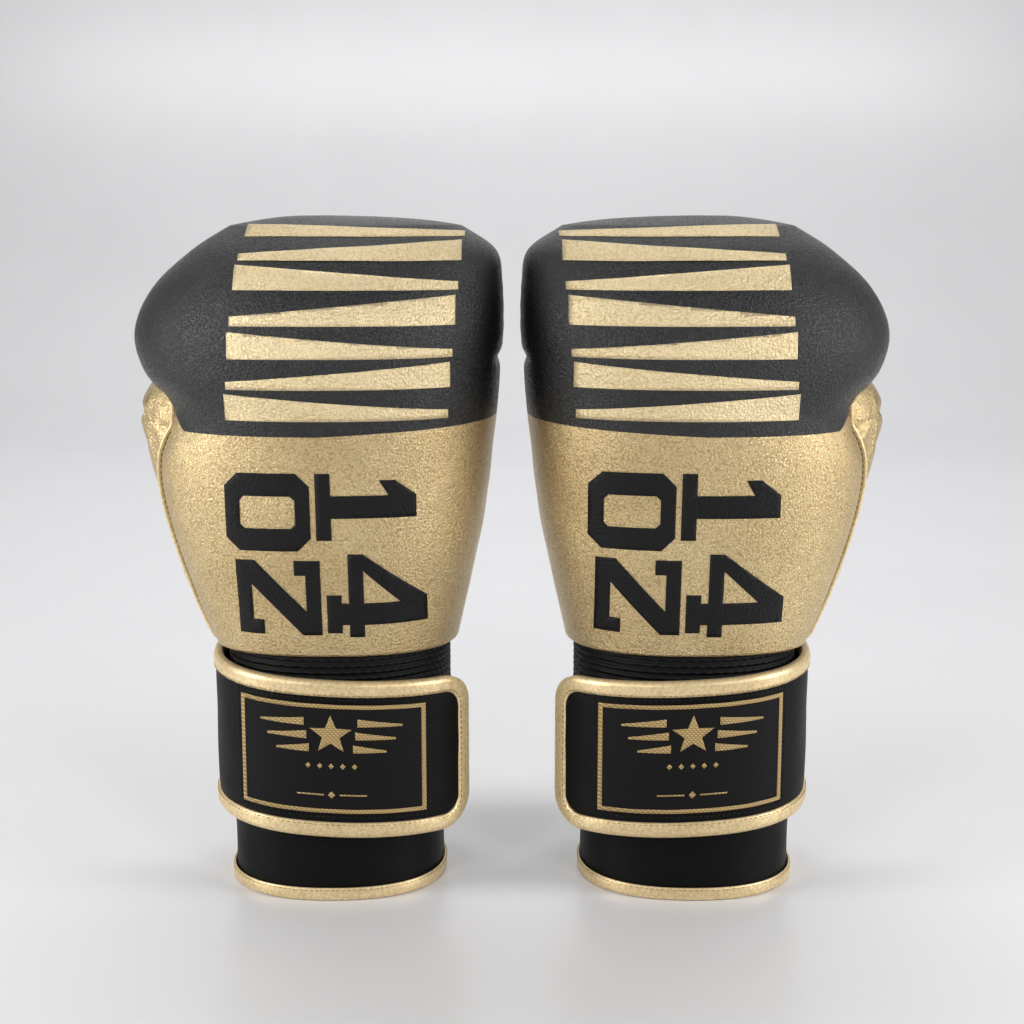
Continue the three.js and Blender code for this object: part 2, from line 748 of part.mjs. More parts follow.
const pieces = [
  ["back_panel", "gold", backPanel()],
  ["side_panel", "black", sidePanel()],
  ["thumb_side_panel", "gold", thumbSidePanel()],
  ["finger_panel", "black", fingerPanel()],
  ["palm_panel", "black", palmPanel()],
  ["back_foam", "foam", backFoam()],
  ["knuckle_foam", "foam", knuckleFoam()],
  ["crown_foam", "foam", crownFoam()],
  ["finger_foam", "foam", fingerFoam()],
  ["palm_foam", "foam", palmFoam()],
  ["hand_lining", "fabric", handLining()],
  ["grip_bar", "fabric", gripBar()],
  ["thumb_shell", "gold", thumbShell()],
  ["thumb_foam", "foam", thumbFoam()],
  ["thumb_lining", "fabric", thumbLining()],
  ["thumb_seam_piping", "gold", sidePiping()],
  ["wrist_band", "mesh", wristBand()],
  ["cuff_shell", "black", cuffShell()],
  ["cuff_foam", "foam", cuffFoam()],
  ["cuff_lining", "fabric", cuffLining()],
  ["cuff_binding", "gold", cuffBinding()],
  ["loop_patch", "hook", loopPatch()],
  ["hook_patch", "hook", hookPatch()],
  ["strap_bridge", "black", strapBridge()],
  ["bridge_upper_binding", "gold", bridgeUpperBinding()],
  ["bridge_lower_binding", "gold", bridgeLowerBinding()],
  ["strap_flap", "black", strapFlap()],
  ["flap_binding", "gold", flapBinding()],
  ["label_patch", "black", labelPatch()],
];

const materials = Object.fromEntries(
  Object.entries(colours).map(([name, look]) => [name, new THREE.MeshStandardMaterial(look)]),
);

// Half the mitt's reach to the back less its reach to the palm centres the pair front to back.
const furthestBack = Math.max(...mittLevels.map((level) => level.back));
const furthestPalm = Math.max(...mittLevels.map((level) => level.palm));
const centring = (furthestBack - furthestPalm) / 2;

const pair = new THREE.Group();
for (const [hand, side] of [["right", -1], ["left", 1]]) {
  for (const [name, look, geometry] of pieces) {
    const mesh = new THREE.Mesh(geometry, materials[look]);
    mesh.name = `${hand}_${name}`;
    mesh.scale.x = -side;
    mesh.position.set((side * gloveSpacing) / 2, centring, 0);
    pair.add(mesh);
  }
}

export default pair;
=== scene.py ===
import math
from bisect import bisect
from functools import lru_cache

import bmesh
import bpy
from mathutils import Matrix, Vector, geometry, noise


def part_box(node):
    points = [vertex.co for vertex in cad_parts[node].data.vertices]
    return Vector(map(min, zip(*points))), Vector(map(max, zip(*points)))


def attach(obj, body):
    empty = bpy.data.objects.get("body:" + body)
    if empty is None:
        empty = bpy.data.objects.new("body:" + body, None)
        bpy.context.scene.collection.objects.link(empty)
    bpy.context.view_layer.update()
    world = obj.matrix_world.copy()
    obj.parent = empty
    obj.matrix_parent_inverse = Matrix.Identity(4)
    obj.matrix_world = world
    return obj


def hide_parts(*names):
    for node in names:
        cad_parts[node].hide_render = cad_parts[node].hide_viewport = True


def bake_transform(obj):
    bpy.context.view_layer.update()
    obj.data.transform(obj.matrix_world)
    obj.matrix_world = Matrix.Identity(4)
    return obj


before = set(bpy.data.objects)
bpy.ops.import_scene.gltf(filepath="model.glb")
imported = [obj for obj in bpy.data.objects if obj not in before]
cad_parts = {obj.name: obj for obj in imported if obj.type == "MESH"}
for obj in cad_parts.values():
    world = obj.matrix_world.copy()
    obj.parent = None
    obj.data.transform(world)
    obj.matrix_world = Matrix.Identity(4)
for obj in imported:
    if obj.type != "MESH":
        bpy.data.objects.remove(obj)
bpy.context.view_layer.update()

scene = bpy.context.scene

# ---------------------------------------------------------------- places and sizes

MM = 0.001
WELD = 0.002  # points nearer than this are one point
HANDS = {"right": -1, "left": 1}  # which side of the middle each hand's glove stands on


def box_mm(node):
    """The lowest and highest corner of a node of the frame, in millimetres."""
    return [Vector(corner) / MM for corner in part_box(node)]


rim_low, rim_high = box_mm("left_cuff_binding")
glove_x = (rim_low.x + rim_high.x) / 2
glove_y = (rim_low.y + rim_high.y) / 2
mitt_bottom = box_mm("left_back_panel")[0].z
cuff_top = box_mm("left_cuff_shell")[1].z
rim_height = rim_high.z

LEATHER = 1.8
ROUNDNESS = 2.4  # exponent of the mitt's outline: 2 is an ellipse, more is squarer
CUFF_ROUNDNESS = 2.3

# The outside of the mitt, level by level: height, reach to the thumb, the little finger, the back
# and the palm, and the roundness between thumb and palm.
MITT = [
    (mitt_bottom, 58, 59.5, 50, 49, 2.1),
    (140, 67, 64, 54, 48, 1.6),
    (165, 75.5, 69.5, 59, 46, 1.35),
    (190, 82, 73.5, 63, 50, 1.3),
    (210, 82.5, 76, 66, 62, 1.3),
    (232, 75, 78.5, 69, 75, 1.45),
    (250, 87.5, 80, 70.5, 82, 1.9),
    (268, 91, 81.5, 70, 84, 2.3),
    (288, 81.5, 81, 64, 81, ROUNDNESS),
    (304, 64, 78, 53, 71, ROUNDNESS),
    (315.5, 46, 62, 37, 53, ROUNDNESS),
    (320, 0, 0, 0, 0, ROUNDNESS),
]
# The outside of the lining, in the same way.
LINING = [
    (mitt_bottom, 47.5, 49, 40, 39, 2.1),
    (160, 54, 51, 34, 37, 1.6),
    (202, 57, 53, 32, 43, 1.6),
    (234, 57, 54, 33, 53, 1.9),
    (262, 52, 52, 28, 50, ROUNDNESS),
    (279, 30, 33, 15, 30, ROUNDNESS),
    (283, 0, 0, 0, 0, ROUNDNESS),
]
# The outside of the cuff: height and the four reaches.
CUFF = [
    (0, 51, 51, 45, 45),
    (40, 51, 52, 46, 46),
    (cuff_top, 52, 55.5, 49.5, 49.5),
]
# The middle line of the thumb and its radius.
THUMB = [
    ((-22, 14, 128), 17),
    ((-48, 30, 148), 23),
    ((-54.5, 37, 168), 25),
    ((-60, 43, 195), 29.5),
    ((-64, 46, 222), 31),
]
THUMB_SPREAD = 2.25  # how much further its back half reaches
THUMB_FULLNESS = 2.6  # exponent of that half of its outline
THUMB_GATHERS = {"count": 9, "depth": 3.0, "away": 19, "reach": 14}

# Seams of the mitt, as turns from the little finger over the back, and as levels.
THUMB_SEAM = 0.45
PALM_SEAM = 0.5
LITTLE_SEAM = 0.85
BACK_SEAM = 0.95
CREASE_LEVEL = 3
FOLD_LEVEL = 5
CROWN_LEVEL = 8
PUCKER = Vector((-75, -13, 231))  # where the thumb is gathered under the knuckles
PUCKER_WIDTH = 8
BLACK_FROM = 224  # height of the black half's lower edge on the back
MITT_ROUND = 440  # about how far one turn is, and how far apart the levels are
LEVEL_GAP = 21
SEAM_DIP = 1.3  # depth of a seam's groove, and of the wide hollow beside it
PLEATS = {"pitch": 9.5, "depth": 0.75, "reach": 13}
FIST_FOLD = {"height": 254, "depth": 1.8, "width": 3.2, "reach": 17}

# The strap: reach outward from the cuff of its two faces, and its edges around the cuff.
STRAP_UNDER = 3.3
STRAP_FACE = 5.8
FLAP_ROOT = -84
FLAP_END = 65.4
FLAP_CORNER = 14
SPRING_START = 20  # past here the flap springs away from the cuff
SPRING_REACH = 6
BEND = (-94, -77)  # the stretch that folds when the strap is opened
BRIDGE_END = -206
BRIDGE_START = FLAP_ROOT - 3
BRIDGE_TAPER = 0.14
STRAP_TOP = 109  # heights at the middle of the back
STRAP_BOTTOM = 36.5
STRAP_SLOPE = -0.062
BINDING_WIDTH = 6.3
LABEL = {"width": 81, "height": 52, "shift": 2, "middle": 73.4}


def place(side, point):
    x, y, z = point
    return Vector((side * (glove_x - x), glove_y + y, z)) * MM


# ---------------------------------------------------------------- mesh helpers

def add_piece(hand, name, points, faces, materials, slots=None):
    """A new piece from a glove's own millimetres."""
    side = HANDS[hand]
    mesh = bpy.data.meshes.new(f"{hand}_{name}")
    if side > 0:
        faces = [tuple(reversed(face)) for face in faces]
    mesh.from_pydata([place(side, point) for point in points], [], faces)
    for material in materials:
        mesh.materials.append(material)
    if slots:
        mesh.polygons.foreach_set("material_index", slots)
    mesh.polygons.foreach_set("use_smooth", [True] * len(mesh.polygons))
    build = bmesh.new()
    build.from_mesh(mesh)
    bmesh.ops.remove_doubles(build, verts=build.verts, dist=WELD * MM)
    loose = [vert for vert in build.verts if not vert.link_faces]
    bmesh.ops.delete(build, geom=loose, context="VERTS")
    build.to_mesh(mesh)
    build.free()
    piece = bpy.data.objects.new(f"{hand}_{name}_look", mesh)
    scene.collection.objects.link(piece)
    return piece


def thicken(piece, thickness):
    """Gives a sheet its thickness, inward from the surface that shows."""
    solidify = piece.modifiers.new("Thickness", "SOLIDIFY")
    solidify.thickness = thickness * MM
    solidify.offset = -1
    solidify.use_quality_normals = True


def finish(piece, hand, body, slot, *nodes):
    """Rides a piece on a body of its glove and hides the CAD nodes that it stands for."""
    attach(piece, f"{hand}_{body}")
    if nodes:
        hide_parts(*[f"{hand}_{node}" for node in nodes])


def grid_faces(rows, columns, cells=None):
    """Outward faces of a grid of points that runs round a glove row by row, over the cells given
    or all of them."""
    faces = []
    for r, c in cells or [(r, c) for r in range(rows - 1) for c in range(columns)]:
        low, high, n = r * columns, (r + 1) * columns, (c + 1) % columns
        faces.append((low + c, high + c, high + n, low + n))
    return faces


def swept(rings, closed_path=False):
    """Points and faces of a closed outline swept along a path, with capped ends."""
    points = [point for ring in rings for point in ring]
    size = len(rings[0])
    steps = len(rings) if closed_path else len(rings) - 1
    faces = []
    for r in range(steps):
        here, there = r * size, ((r + 1) % len(rings)) * size
        for c in range(size):
            n = (c + 1) % size
            faces.append((here + c, here + n, there + n, there + c))
    if not closed_path:
        faces.append(tuple(reversed(range(size))))
        faces.append(tuple(range(len(points) - size, len(points))))
    return points, faces


def add_closed(hand, name, points, faces, material):
    """A new piece of one material whose faces are all turned outward."""
    piece = add_piece(hand, name, points, faces, [material])
    build = bmesh.new()
    build.from_mesh(piece.data)
    bmesh.ops.recalc_face_normals(build, faces=build.faces)
    build.to_mesh(piece.data)
    build.free()
    return piece


def spline(values, at):
    """The value of a smooth curve through evenly spaced numbers."""
    i = min(max(int(at), 0), len(values) - 2)
    f = at - i
    before, a, b, after = (values[min(max(k, 0), len(values) - 1)] for k in (i - 1, i, i + 1, i + 2))
    rise, fall = (b - before) / 2, (after - a) / 2
    return a + f * rise + f * f * (3 * (b - a) - 2 * rise - fall) + f ** 3 * (2 * (a - b) + rise + fall)


def bell(distance, width):
    return math.exp(-((distance / width) ** 2))


def smooth_step(low, high, value):
    part = min(max((value - low) / (high - low), 0), 1)
    return part * part * (3 - 2 * part)


# ---------------------------------------------------------------- the mitt's surface

def level_at(levels, t):
    """The outline's numbers at a level, with a low round crown above the last full level."""
    last = len(levels) - 2
    if t <= last:
        return [spline([level[k] for level in levels[:-1]], t) for k in range(6)]
    narrowing = math.sqrt(max(1 - (t - last), 0))
    below = levels[last]
    z = levels[-1][0] - (levels[-1][0] - below[0]) * narrowing ** 2.4
    return [z, *(narrowing * reach for reach in below[1:5]), below[5]]


def outline_point(numbers, turn, roundness):
    z, thumb, little, back, palm, corner = numbers
    angle = turn * 2 * math.pi
    across, backward = math.cos(angle), math.sin(angle)
    power = 2 / roundness
    if across < 0 and backward < 0:
        inside = math.sin(2 * math.pi * 2 * (turn % 1 - 0.5)) ** 0.6
        power = 2 / (roundness + (corner - roundness) * inside)
    x = (-thumb if across < 0 else little) * abs(across) ** power
    y = (palm if backward < 0 else -back) * abs(backward) ** power
    return Vector((x, y, z))


@lru_cache(maxsize=4096)
def mitt_level(t):
    return level_at(MITT, t)


def bare_mitt(turn, t):
    return outline_point(mitt_level(t), turn, ROUNDNESS)


def outward(surface, turn, t):
    """The outward direction of a surface of turns and levels."""
    top = len(MITT) - 1
    up = surface(turn, min(t + 0.04, top)) - surface(turn, max(t - 0.04, 0))
    if t > top - 0.05:
        return Vector((0, 0, 1))
    around = surface(turn + 0.002, t) - surface(turn - 0.002, t)
    return up.cross(around).normalized()


def seam_distance(turn, t):
    """Millimetres from a point of the mitt to the nearest seam between its panels."""
    gaps = []
    for seam in (LITTLE_SEAM, BACK_SEAM, THUMB_SEAM, PALM_SEAM):
        top = FOLD_LEVEL if seam == THUMB_SEAM else CROWN_LEVEL
        gaps.append(math.hypot(abs(turn - seam) * MITT_ROUND, max(t - top, 0) * LEVEL_GAP))
    if PALM_SEAM < turn < LITTLE_SEAM:
        gaps.append(abs(t - CREASE_LEVEL) * LEVEL_GAP)
    if PALM_SEAM < turn < BACK_SEAM:
        gaps.append(abs(t - CROWN_LEVEL) * LEVEL_GAP)
    return min(gaps)


def mitt_relief(turn, t, point):
    """How far the padded leather stands out from its plain outline."""
    near_seam = seam_distance(turn % 1, t)
    relief = -SEAM_DIP * bell(near_seam, 2.0) - SEAM_DIP * bell(near_seam, 8)
    # large and small unevenness of the padding
    relief += 0.55 * noise.noise(point / 46) + 0.22 * noise.noise(point / 17)
    # small pleats along the seam on the little finger's side, fading in and out with the height
    from_seam = (turn + 1 - BACK_SEAM) % 1 * MITT_ROUND
    pleated = bell(min(from_seam, MITT_ROUND - from_seam), PLEATS["reach"])
    pleated *= smooth_step(238, 256, point.z) * (1 - smooth_step(286, 296, point.z))
    relief += PLEATS["depth"] * math.sin(point.z * 2 * math.pi / PLEATS["pitch"]) * pleated
    # the deeper fold where the fist bends, on the little finger's side
    away = min(turn % 1, 1 - turn % 1) * MITT_ROUND
    fold = bell(point.z - FIST_FOLD["height"], FIST_FOLD["width"])
    relief -= FIST_FOLD["depth"] * fold * bell(away, FIST_FOLD["reach"])
    # creases that run down from the gathered corner beside the thumb
    from_pucker = (point - PUCKER).length
    angle = math.atan2(point.z - PUCKER.z, point.x - PUCKER.x)
    relief += 0.6 * math.sin(7 * angle + 1) * bell(from_pucker - 12, 9)
    return relief - 2.0 * bell(from_pucker, PUCKER_WIDTH)


def mitt_surface(turn, t):
    bare = bare_mitt(turn, t)
    return bare + outward(bare_mitt, turn, t) * mitt_relief(turn, t, bare)


def black_edge(x):
    """Height of the black half's lower edge: it runs up into the crease beside the thumb."""
    return BLACK_FROM + 0.05 * max(x, 0) + 0.9 * max(-62 - x, 0)


FINE_STEPS = 50
FINE_LEVELS = [k / FINE_STEPS for k in range(FINE_STEPS * (len(MITT) - 1) + 1)]
FINE_HEIGHTS = [mitt_level(t)[0] for t in FINE_LEVELS]


def level_of(height):
    """The level at which the mitt reaches a height."""
    k = min(max(bisect(FINE_HEIGHTS, height), 1), len(FINE_LEVELS) - 1)
    low, high = FINE_HEIGHTS[k - 1], FINE_HEIGHTS[k]
    part = (height - low) / (high - low)
    return FINE_LEVELS[k - 1] + part * (FINE_LEVELS[k] - FINE_LEVELS[k - 1])


STEPS = 10  # rows of the mitt's mesh for each level
COLUMNS = 160
ROWS = (len(MITT) - 1) * STEPS + 1
EDGE_ROW = 48  # the row that follows the edge between gold and black


def row_level(row, turn):
    """The level of a row of the mesh, bent so that one row follows the black edge."""
    low, high = CREASE_LEVEL * STEPS, CROWN_LEVEL * STEPS
    if not low < row < high or PALM_SEAM < turn % 1 < BACK_SEAM:
        return row / STEPS
    x = bare_mitt(turn, EDGE_ROW / STEPS).x
    edge = level_of(black_edge(x))
    if row <= EDGE_ROW:
        return CREASE_LEVEL + (edge - CREASE_LEVEL) * (row - low) / (EDGE_ROW - low)
    return edge + (CROWN_LEVEL - edge) * (row - EDGE_ROW) / (high - EDGE_ROW)


MITT_POINTS = [
    mitt_surface(c / COLUMNS, row_level(r, c / COLUMNS)) for r in range(ROWS) for c in range(COLUMNS)
]


def mitt_panel(hand, name, covers, two_coloured):
    """One panel of the mitt, over the cells of its mesh that it covers: black leather, or gold
    below the black edge and black above it."""
    cells = [
        (r, c) for r in range(ROWS - 1) for c in range(COLUMNS)
        if covers((c + 0.5) / COLUMNS, (r + 0.5) / STEPS)
    ]
    faces = grid_faces(ROWS, COLUMNS, cells)
    slots = [int(r >= EDGE_ROW) for r, c in cells] if two_coloured else None
    materials = [GOLD, BLACK] if two_coloured else [BLACK]
    piece = add_piece(hand, name, MITT_POINTS, faces, materials, slots)
    thicken(piece, LEATHER - 0.2)
    return piece


def is_back(turn):
    return turn > BACK_SEAM or turn < PALM_SEAM


def is_beside_thumb(turn, t):
    return t < FOLD_LEVEL and THUMB_SEAM < turn < PALM_SEAM


def is_palm_side(turn):
    return PALM_SEAM < turn < LITTLE_SEAM


# Each panel of the mitt, its colour and where it lies.
MITT_PANELS = (
    ("back_panel", "gold_leather",
     lambda turn, t: t > CROWN_LEVEL or is_back(turn) and not is_beside_thumb(turn, t)),
    ("thumb_side_panel", "gold_leather", is_beside_thumb),
    ("side_panel", "black_leather", lambda turn, t: t < CROWN_LEVEL and LITTLE_SEAM < turn < BACK_SEAM),
    ("finger_panel", "black_leather", lambda turn, t: CREASE_LEVEL < t < CROWN_LEVEL and is_palm_side(turn)),
    ("palm_panel", "black_leather", lambda turn, t: t < CREASE_LEVEL and is_palm_side(turn)),
)


# ---------------------------------------------------------------- materials

def new_material(name, colour, roughness, metallic=0.0):
    material = bpy.data.materials.new(name)
    material.use_nodes = True
    shader = material.node_tree.nodes["Principled BSDF"]
    shader.inputs["Base Color"].default_value = (*colour, 1)
    shader.inputs["Roughness"].default_value = roughness
    shader.inputs["Metallic"].default_value = metallic
    return material, material.node_tree, shader


def texture(tree, kind, scale, **settings):
    node = tree.nodes.new(kind)
    place_node = tree.nodes.new("ShaderNodeTexCoord")
    tree.links.new(place_node.outputs["Object"], node.inputs["Vector"])
    node.inputs["Scale"].default_value = scale
    for name, value in settings.items():
        if name in node.inputs:
            node.inputs[name].default_value = value
        else:
            setattr(node, name, value)
    return node


def drive(tree, socket, source, stops):
    """Drives a socket of the shader, or of a bump, by a ramp of colours over a texture."""
    node = tree.nodes.new("ShaderNodeValToRGB")
    while len(node.color_ramp.elements) < len(stops):
        node.color_ramp.elements.new(0.5)
    for element, (position, colour) in zip(node.color_ramp.elements, stops):
        element.position = position
        element.color = (*colour, 1)
    tree.links.new(source, node.inputs["Fac"])
    tree.links.new(node.outputs["Color"], socket)


def grey(value):
    return (value, value, value)


def add_bump(tree, shader, height, strength, depth):
    """Adds a bump over those that are there already."""
    bump = tree.nodes.new("ShaderNodeBump")
    bump.inputs["Strength"].default_value = strength
    bump.inputs["Distance"].default_value = depth * MM
    if height:
        tree.links.new(height, bump.inputs["Height"])
    below = shader.inputs["Normal"].links
    if below:
        tree.links.new(below[0].from_socket, bump.inputs["Normal"])
    tree.links.new(bump.outputs["Normal"], shader.inputs["Normal"])
    return bump


def leather(name, dark, light, roughness, metallic, grain, relief, specular=0.5):
    """Pebble-grained leather: glossy rounded cells of one grain size, in millimetres, with rougher valleys
    between them. The valleys are painted in the dark colour as shade in the grain, mixed with a random tone
    in larger patches. Relief is the depth of the grain."""
    material, tree, shader = new_material(name, light, sum(roughness) / 2, metallic)
    cells = texture(tree, "ShaderNodeTexVoronoi", 1 / (grain * MM), Randomness=1.0)
    fine = texture(tree, "ShaderNodeTexNoise", 1 / (0.55 * grain * MM), Detail=3.0, Roughness=0.6)
    waves = texture(tree, "ShaderNodeTexNoise", 1 / (9 * MM), Detail=4.0)
    patches = texture(tree, "ShaderNodeTexNoise", 1 / (60 * MM), Detail=3.0)
    grain_shade_and_tone = tree.nodes.new("ShaderNodeMix")
    grain_shade_and_tone.data_type = "FLOAT"
    grain_shade_and_tone.inputs["Factor"].default_value = 0.5
    tree.links.new(cells.outputs["Distance"], grain_shade_and_tone.inputs["A"])
    tree.links.new(patches.outputs["Fac"], grain_shade_and_tone.inputs["B"])
    # light colour on the domes, dark colour in the valleys between the cells: painted shade in the grain
    dome, valley = 0.28, 0.7
    drive(tree, shader.inputs["Base Color"], grain_shade_and_tone.outputs["Result"], [(dome, light), (valley, dark)])
    shiny, matt = (grey(value) for value in roughness)
    drive(tree, shader.inputs["Roughness"], grain_shade_and_tone.outputs["Result"], [(dome, shiny), (valley, matt)])
    domes = add_bump(tree, shader, None, 1.0, relief)
    profile = [(0.0, grey(1)), (0.45, grey(0.7)), (0.9, grey(0))]
    drive(tree, domes.inputs["Height"], cells.outputs["Distance"], profile)
    add_bump(tree, shader, fine.outputs["Fac"], 1.0, relief * 1.4)
    add_bump(tree, shader, waves.outputs["Fac"], 0.4, relief * 2)
    shader.inputs["Specular IOR Level"].default_value = specular
    return material


def woven(name, dark, light, pitch, relief, roughness=0.85):
    """Cloth of crossing threads. Each wave of the texture spans two threads."""
    material, tree, shader = new_material(name, light, roughness)
    scale = 1 / (pitch * MM * 6.3)
    across = texture(tree, "ShaderNodeTexWave", scale, bands_direction="DIAGONAL")
    upward = texture(tree, "ShaderNodeTexWave", scale, bands_direction="Z")
    threads = tree.nodes.new("ShaderNodeMath")
    threads.operation = "MULTIPLY"
    tree.links.new(across.outputs["Fac"], threads.inputs[0])
    tree.links.new(upward.outputs["Fac"], threads.inputs[1])
    drive(tree, shader.inputs["Base Color"], threads.outputs["Value"], [(0.1, dark), (0.8, light)])
    add_bump(tree, shader, threads.outputs["Value"], 0.7, relief)
    shader.inputs["Specular IOR Level"].default_value = 0.2
    return material


def foam(name):
    """Pale foam with small pores."""
    material, tree, shader = new_material(name, (0.78, 0.74, 0.62), 0.95)
    pores = texture(tree, "ShaderNodeTexVoronoi", 1 / (0.8 * MM))
    stops = [(0.0, (0.6, 0.55, 0.42)), (0.6, (0.8, 0.76, 0.64))]
    drive(tree, shader.inputs["Base Color"], pores.outputs["Distance"], stops)
    add_bump(tree, shader, pores.outputs["Distance"], 0.5, 0.3)
    return material


def nap(name, colour):
    """The hooks and loops of the strap's fastener."""
    material, tree, shader = new_material(name, colour, 0.95)
    fuzz = texture(tree, "ShaderNodeTexNoise", 1 / (0.7 * MM), Detail=8.0)
    stops = [(0.3, tuple(0.4 * c for c in colour)), (0.7, colour)]
    drive(tree, shader.inputs["Base Color"], fuzz.outputs["Fac"], stops)
    shader.inputs["Sheen Weight"].default_value = 0.3
    add_bump(tree, shader, fuzz.outputs["Fac"], 0.9, 0.6)
    return material


# Leathers: dark colour painted in the valleys as shade and light colour of the domes, range of roughness,
# metallic, grain, relief, specular level.
GOLD = leather("gold_leather", (0.42, 0.30, 0.14), (0.74, 0.58, 0.32), (0.25, 0.34), 0.78, 1.05, 0.24)
SMOOTH_GOLD = leather("gold_binding", (0.62, 0.46, 0.24), (0.84, 0.67, 0.39), (0.36, 0.44), 0.45, 1.5, 0.05)
# the black leather's lighter domes are a painted sheen that picks out the grain, and its near-black valleys
# are painted shade
BLACK = leather("black_leather", grey(0.0005), grey(0.009), (0.14, 0.55), 0.0, 1.1, 0.26, 0.5)
STRAP_BLACK = leather("strap_leather", grey(0.002), grey(0.0035), (0.42, 0.55), 0.0, 0.9, 0.07, 0.12)
GOLD_PRINT = leather("gold_print", (0.62, 0.48, 0.26), (0.86, 0.71, 0.44), (0.27, 0.36), 0.65, 1.2, 0.34)
BLACK_PRINT = leather("black_print", grey(0.001), grey(0.003), (0.42, 0.55), 0.0, 1.25, 0.2, 0.25)
# Cloths: dark and light colour, pitch of the threads, relief, roughness.
MESH = woven("wrist_mesh", grey(0.001), (0.010, 0.010, 0.011), 1.4, 0.5, 0.6)
LINING_CLOTH = woven("lining_cloth", (0.004, 0.004, 0.005), (0.016, 0.016, 0.018), 0.8, 0.15)
LABEL_CLOTH = woven("label_cloth", grey(0.002), grey(0.005), 0.5, 0.08, 0.7)
GOLD_THREAD = woven("gold_thread", (0.30, 0.20, 0.08), (0.62, 0.46, 0.22), 0.5, 0.12, 0.5)
BLACK_THREAD = woven("black_thread", grey(0.002), grey(0.02), 0.4, 0.1, 0.6)
FOAM = foam("foam")
NAP = nap("fastener_nap", grey(0.02))

# ---------------------------------------------------------------- prints on the back

PRINT_LIFT = 0.2


def back_point(x, t, lift):
    """The point of the back at a reach across and a level, lifted off the leather."""
    numbers = mitt_level(t)
    reach = numbers[2] if x > 0 else numbers[1]
    angle = math.acos(min(abs(x) / reach, 1) ** (ROUNDNESS / 2))
    turn = (angle if x > 0 else math.pi - angle) / (2 * math.pi)
    return mitt_surface(turn, t) + outward(bare_mitt, turn, t) * lift


def fine_sheet(outlines, steps):
    """A flat figure as a mesh cut into squares, so that it can be laid on a curved surface."""
    loops = [[Vector((x, y, 0)) for x, y in outline] for outline in outlines]
    corners = [corner for loop in loops for corner in loop]
    build = bmesh.new()
    verts = [build.verts.new(corner) for corner in corners]
    for triangle in geometry.tessellate_polygon(loops):
        build.faces.new([verts[k] for k in triangle])
    for axis in (0, 1):
        low, high = min(c[axis] for c in corners), max(c[axis] for c in corners)
        normal = Vector((1 - axis, axis, 0))
        for k in range(1, int((high - low) / steps[axis]) + 1):
            cut = normal * (low + k * steps[axis])
            everything = build.verts[:] + build.edges[:] + build.faces[:]
            bmesh.ops.bisect_plane(build, geom=everything, plane_co=cut, plane_no=normal)
    bmesh.ops.recalc_face_normals(build, faces=build.faces)
    if sum(face.normal.z for face in build.faces) < 0:
        bmesh.ops.reverse_faces(build, faces=build.faces)
    build.verts.index_update()
    points = [tuple(vert.co)[:2] for vert in build.verts]
    faces = [tuple(vert.index for vert in face.verts) for face in build.faces]
    build.free()
    return points, faces


def laid_figure(hand, name, figures, surface, material, steps=(2.5, 2.5)):
    """Flat figures laid on a surface of the glove as one thin film. Figures read the same way on
    both gloves, so across is counted to the viewer's right and turned round for the left hand."""
    points, faces = [], []
    for outlines in figures:
        flat, flat_faces = fine_sheet(outlines, steps)
        start = len(points)
        points += [surface(-HANDS[hand] * across, up) for across, up in flat]
        turned = flat_faces if HANDS[hand] < 0 else [tuple(reversed(face)) for face in flat_faces]
        faces += [tuple(start + k for k in face) for face in turned]
    piece = add_piece(hand, name, points, faces, [material])
    thicken(piece, PRINT_LIFT * 0.8)
    return piece


def block_zero(wide, tall, stem, bar, chamfer):
    def octagon(w, h, cut):
        right, top = w - cut, h - cut
        return [(cut, 0), (right, 0), (w, cut), (w, top), (right, h), (cut, h), (0, top), (0, cut)]

    inner = [(x + stem, y + bar) for x, y in octagon(wide - 2 * stem, tall - 2 * bar, chamfer / 3)]
    return [octagon(wide, tall, chamfer), list(reversed(inner))]


def block_one(wide, tall, stem, bar):
    """A stem on a foot, with a short flag that slopes down at the top."""
    left, right = (wide - stem) / 2, (wide + stem) / 2
    flag = left - 7
    return [[
        (0, 0), (wide, 0), (wide, bar), (right, bar), (right, tall), (left, tall),
        (flag, tall - 9), (flag, tall - 16), (left, tall - 12), (left, bar), (0, bar),
    ]]


def block_zed(wide, tall, bar, slant):
    """Two bars, each with a short serif, and a slanting stroke between them."""
    serif_wide, serif_tall = 7, 5
    low, high = bar + serif_tall, tall - bar - serif_tall
    return [[
        (0, 0), (wide, 0), (wide, low), (wide - serif_wide, low), (wide - serif_wide, bar), (slant + 1, bar),
        (wide, tall - bar - 2), (wide, tall), (0, tall), (0, high), (serif_wide, high),
        (serif_wide, tall - bar), (wide - slant - 1, tall - bar), (0, bar + 2),
    ]]


def block_four(wide, tall, stem, bar):
    """A stem on a foot, a cross bar, and a slanting stroke that leaves a three-cornered hole."""
    past, foot, cross = 6, 4, 10
    left, right, over = wide - stem - past, wide - past, cross + bar
    outline = [
        (left - foot, 0), (right + foot, 0), (right + foot, bar), (right, bar), (right, cross),
        (wide, cross), (wide, over), (right, over), (right, tall), (left - 2, tall), (0, over),
        (0, cross), (left, cross), (left, bar), (left - foot, bar),
    ]
    hole = [(8, over), (left, over), (left, tall - 12)]
    return [outline, list(reversed(hole))]


def on_its_side(figure, right, top):
    """A figure turned a quarter clockwise, its upper right corner moved to a place."""
    tall = max(y for x, y in figure[0])
    return [[(right - tall + y, top - x) for x, y in reversed(outline)] for outline in figure]


def size_mark():
    """The size, 14 oz, in block figures that read downward: each with its right and top edge."""
    stem, bar, top = 10.5, 6.8, 207.5
    return [
        on_its_side(block_one(31, 44.5, stem, bar), 42, top),
        on_its_side(block_four(40, 45, stem, bar), 46, top - 37.5),
        on_its_side(block_zero(36, 38.5, stem, bar, 6), -5, top),
        on_its_side(block_zed(36, 38.5, bar, stem), -1.5, top - 40.5),
    ]


